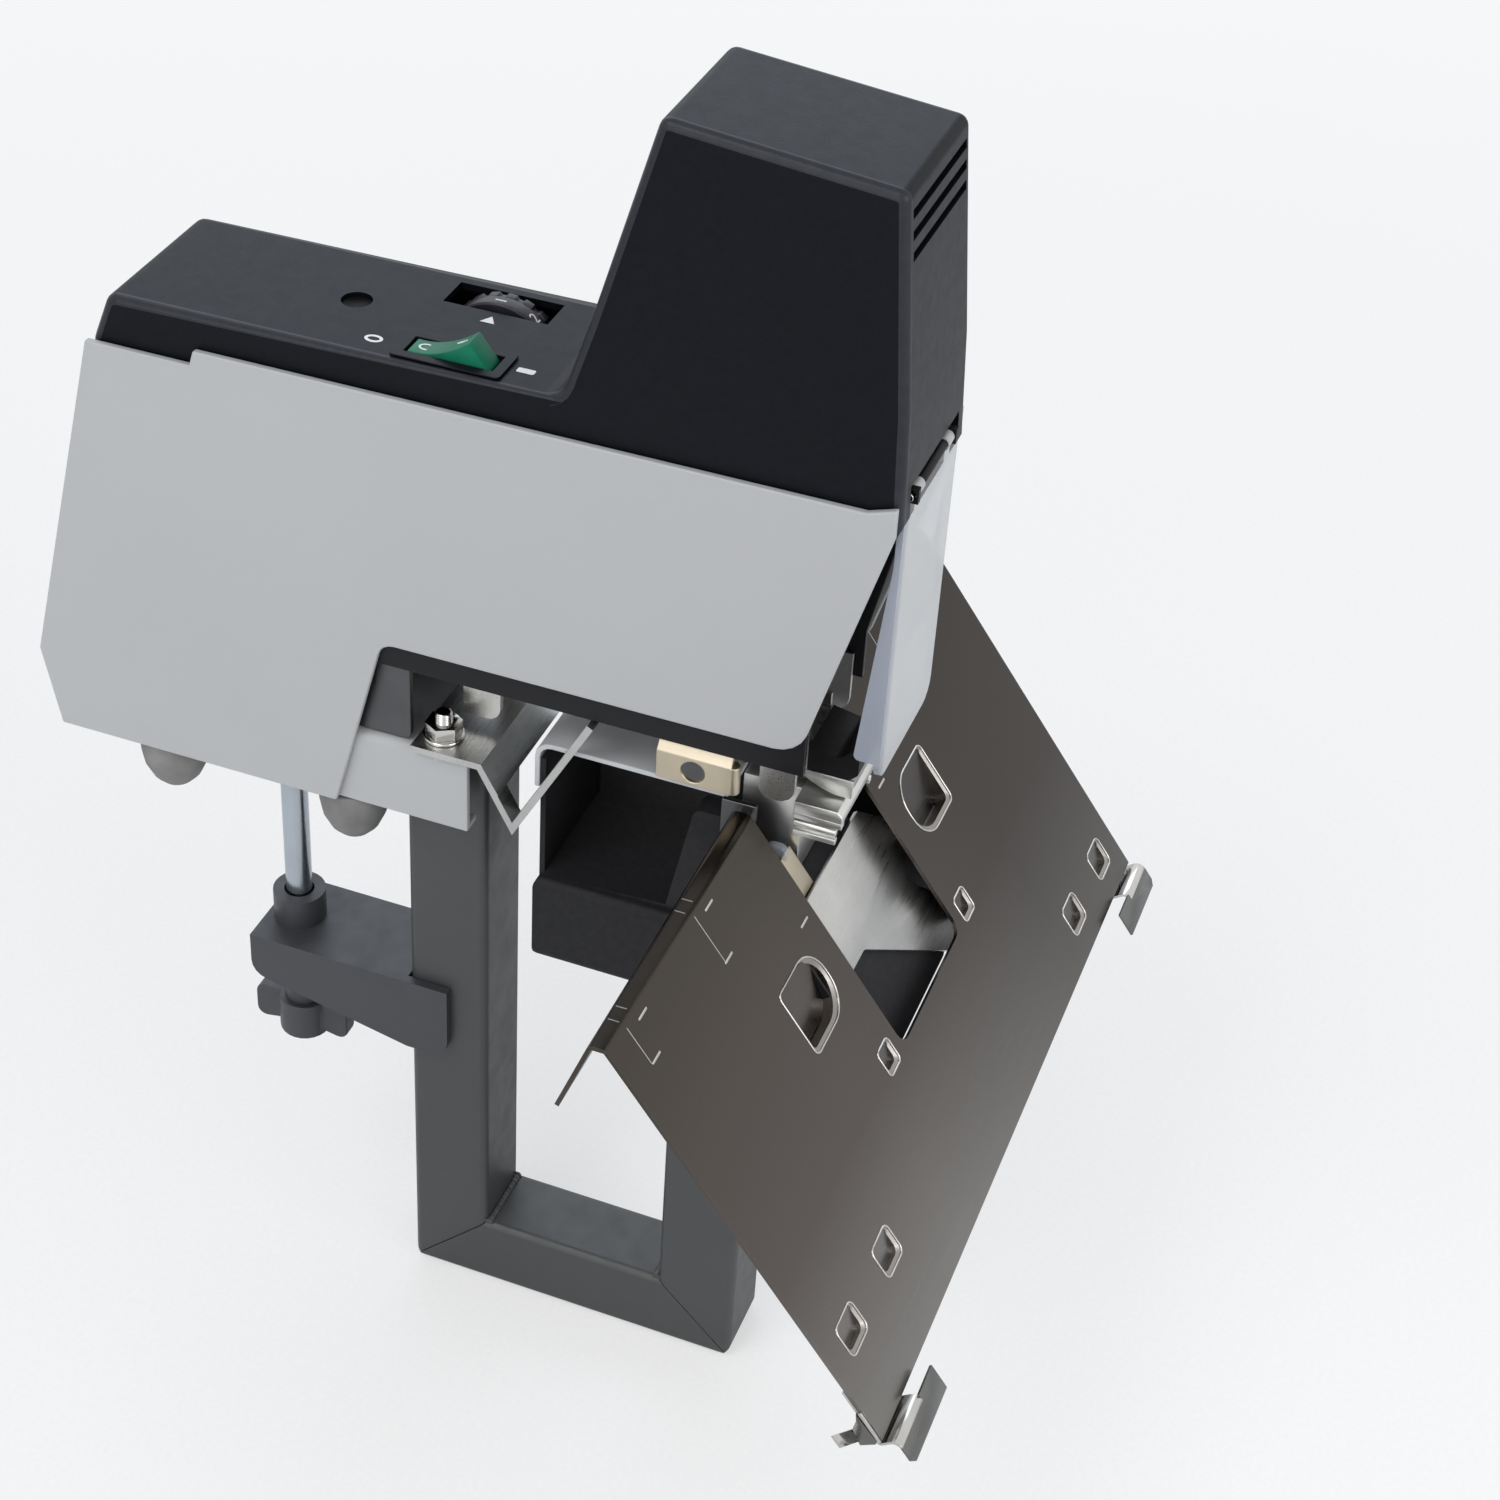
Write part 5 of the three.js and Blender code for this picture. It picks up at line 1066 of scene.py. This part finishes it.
def soft_box(name, place, target, size, power, tint=(1, 1, 1)):
    """Rectangular lamp in metres and watts, facing its target."""
    light = bpy.data.lights.new(name, "AREA")
    light.color = tint
    light.shape = "RECTANGLE"
    light.size, light.size_y = size
    light.energy = power
    obj = bpy.data.objects.new(name, light)
    obj.location = place
    obj.rotation_mode = "QUATERNION"
    obj.rotation_quaternion = (Vector(target) - Vector(place)).to_track_quat("-Z", "Y")
    bpy.context.scene.collection.objects.link(obj)


def studio_world():
    """White for the camera and in metal and glass, soft grey light on everything else."""
    world = bpy.data.worlds.new("studio")
    world.use_nodes = True
    tree = world.node_tree
    tree.nodes.clear()
    add, link = tree.nodes.new, tree.links.new
    out, mix = add("ShaderNodeOutputWorld"), add("ShaderNodeMixShader")
    path = add("ShaderNodeLightPath")
    for socket, color, strength in ((1, (0.96, 0.98, 1, 1), 0.55), (2, (1, 1, 1, 1), 1.0)):
        light = add("ShaderNodeBackground")
        light.inputs["Color"].default_value = color
        light.inputs["Strength"].default_value = strength
        link(light.outputs[0], mix.inputs[socket])
    seen = path.outputs["Is Camera Ray"]
    for ray in ("Is Glossy Ray", "Is Transmission Ray"):
        either = add("ShaderNodeMath")
        either.operation = "MAXIMUM"
        link(seen, either.inputs[0])
        link(path.outputs[ray], either.inputs[1])
        seen = either.outputs[0]
    link(seen, mix.inputs["Fac"])
    link(mix.outputs[0], out.inputs["Surface"])
    bpy.context.scene.world = world


def camera():
    """Camera at the viewpoint that was fitted to the photograph, with its three directions."""
    data = bpy.data.cameras.new("camera")
    data.lens = 68.85
    data.sensor_width = 36
    data.shift_x = 0.0793
    data.shift_y = -0.0130
    data.clip_start, data.clip_end = 0.02, 50
    obj = bpy.data.objects.new("camera", data)
    right = Vector((0.3772, -0.9256, 0.0304))
    down = Vector((-0.5477, -0.2494, -0.7986))
    ahead = Vector((0.7468, 0.2846, -0.6011))
    matrix = Matrix((right, -down, -ahead)).transposed().to_4x4()
    matrix.translation = (-0.5855, -0.31455, 0.5011)
    obj.matrix_world = matrix
    bpy.context.scene.collection.objects.link(obj)
    bpy.context.scene.camera = obj


studio_floor()
studio_world()
soft_box("back_sheen", (1.5, 0.55, 1.25), (0, -0.05, 0.1), (1.6, 1.2), 8.5, (0.72, 0.85, 1))
soft_box("key_above", (-0.95, 0.45, 1.5), (0, -0.05, 0), (0.8, 0.8), 8)
soft_box("front_fill", (-0.5, -1.6, 0.7), (0, -0.1, 0), (1.2, 1.0), 11)
soft_box("side_fill", (-1.7, 0.1, 0.5), (0, -0.05, 0.05), (1.2, 1.2), 6)
camera()
bpy.context.scene.view_settings.view_transform = "Standard"
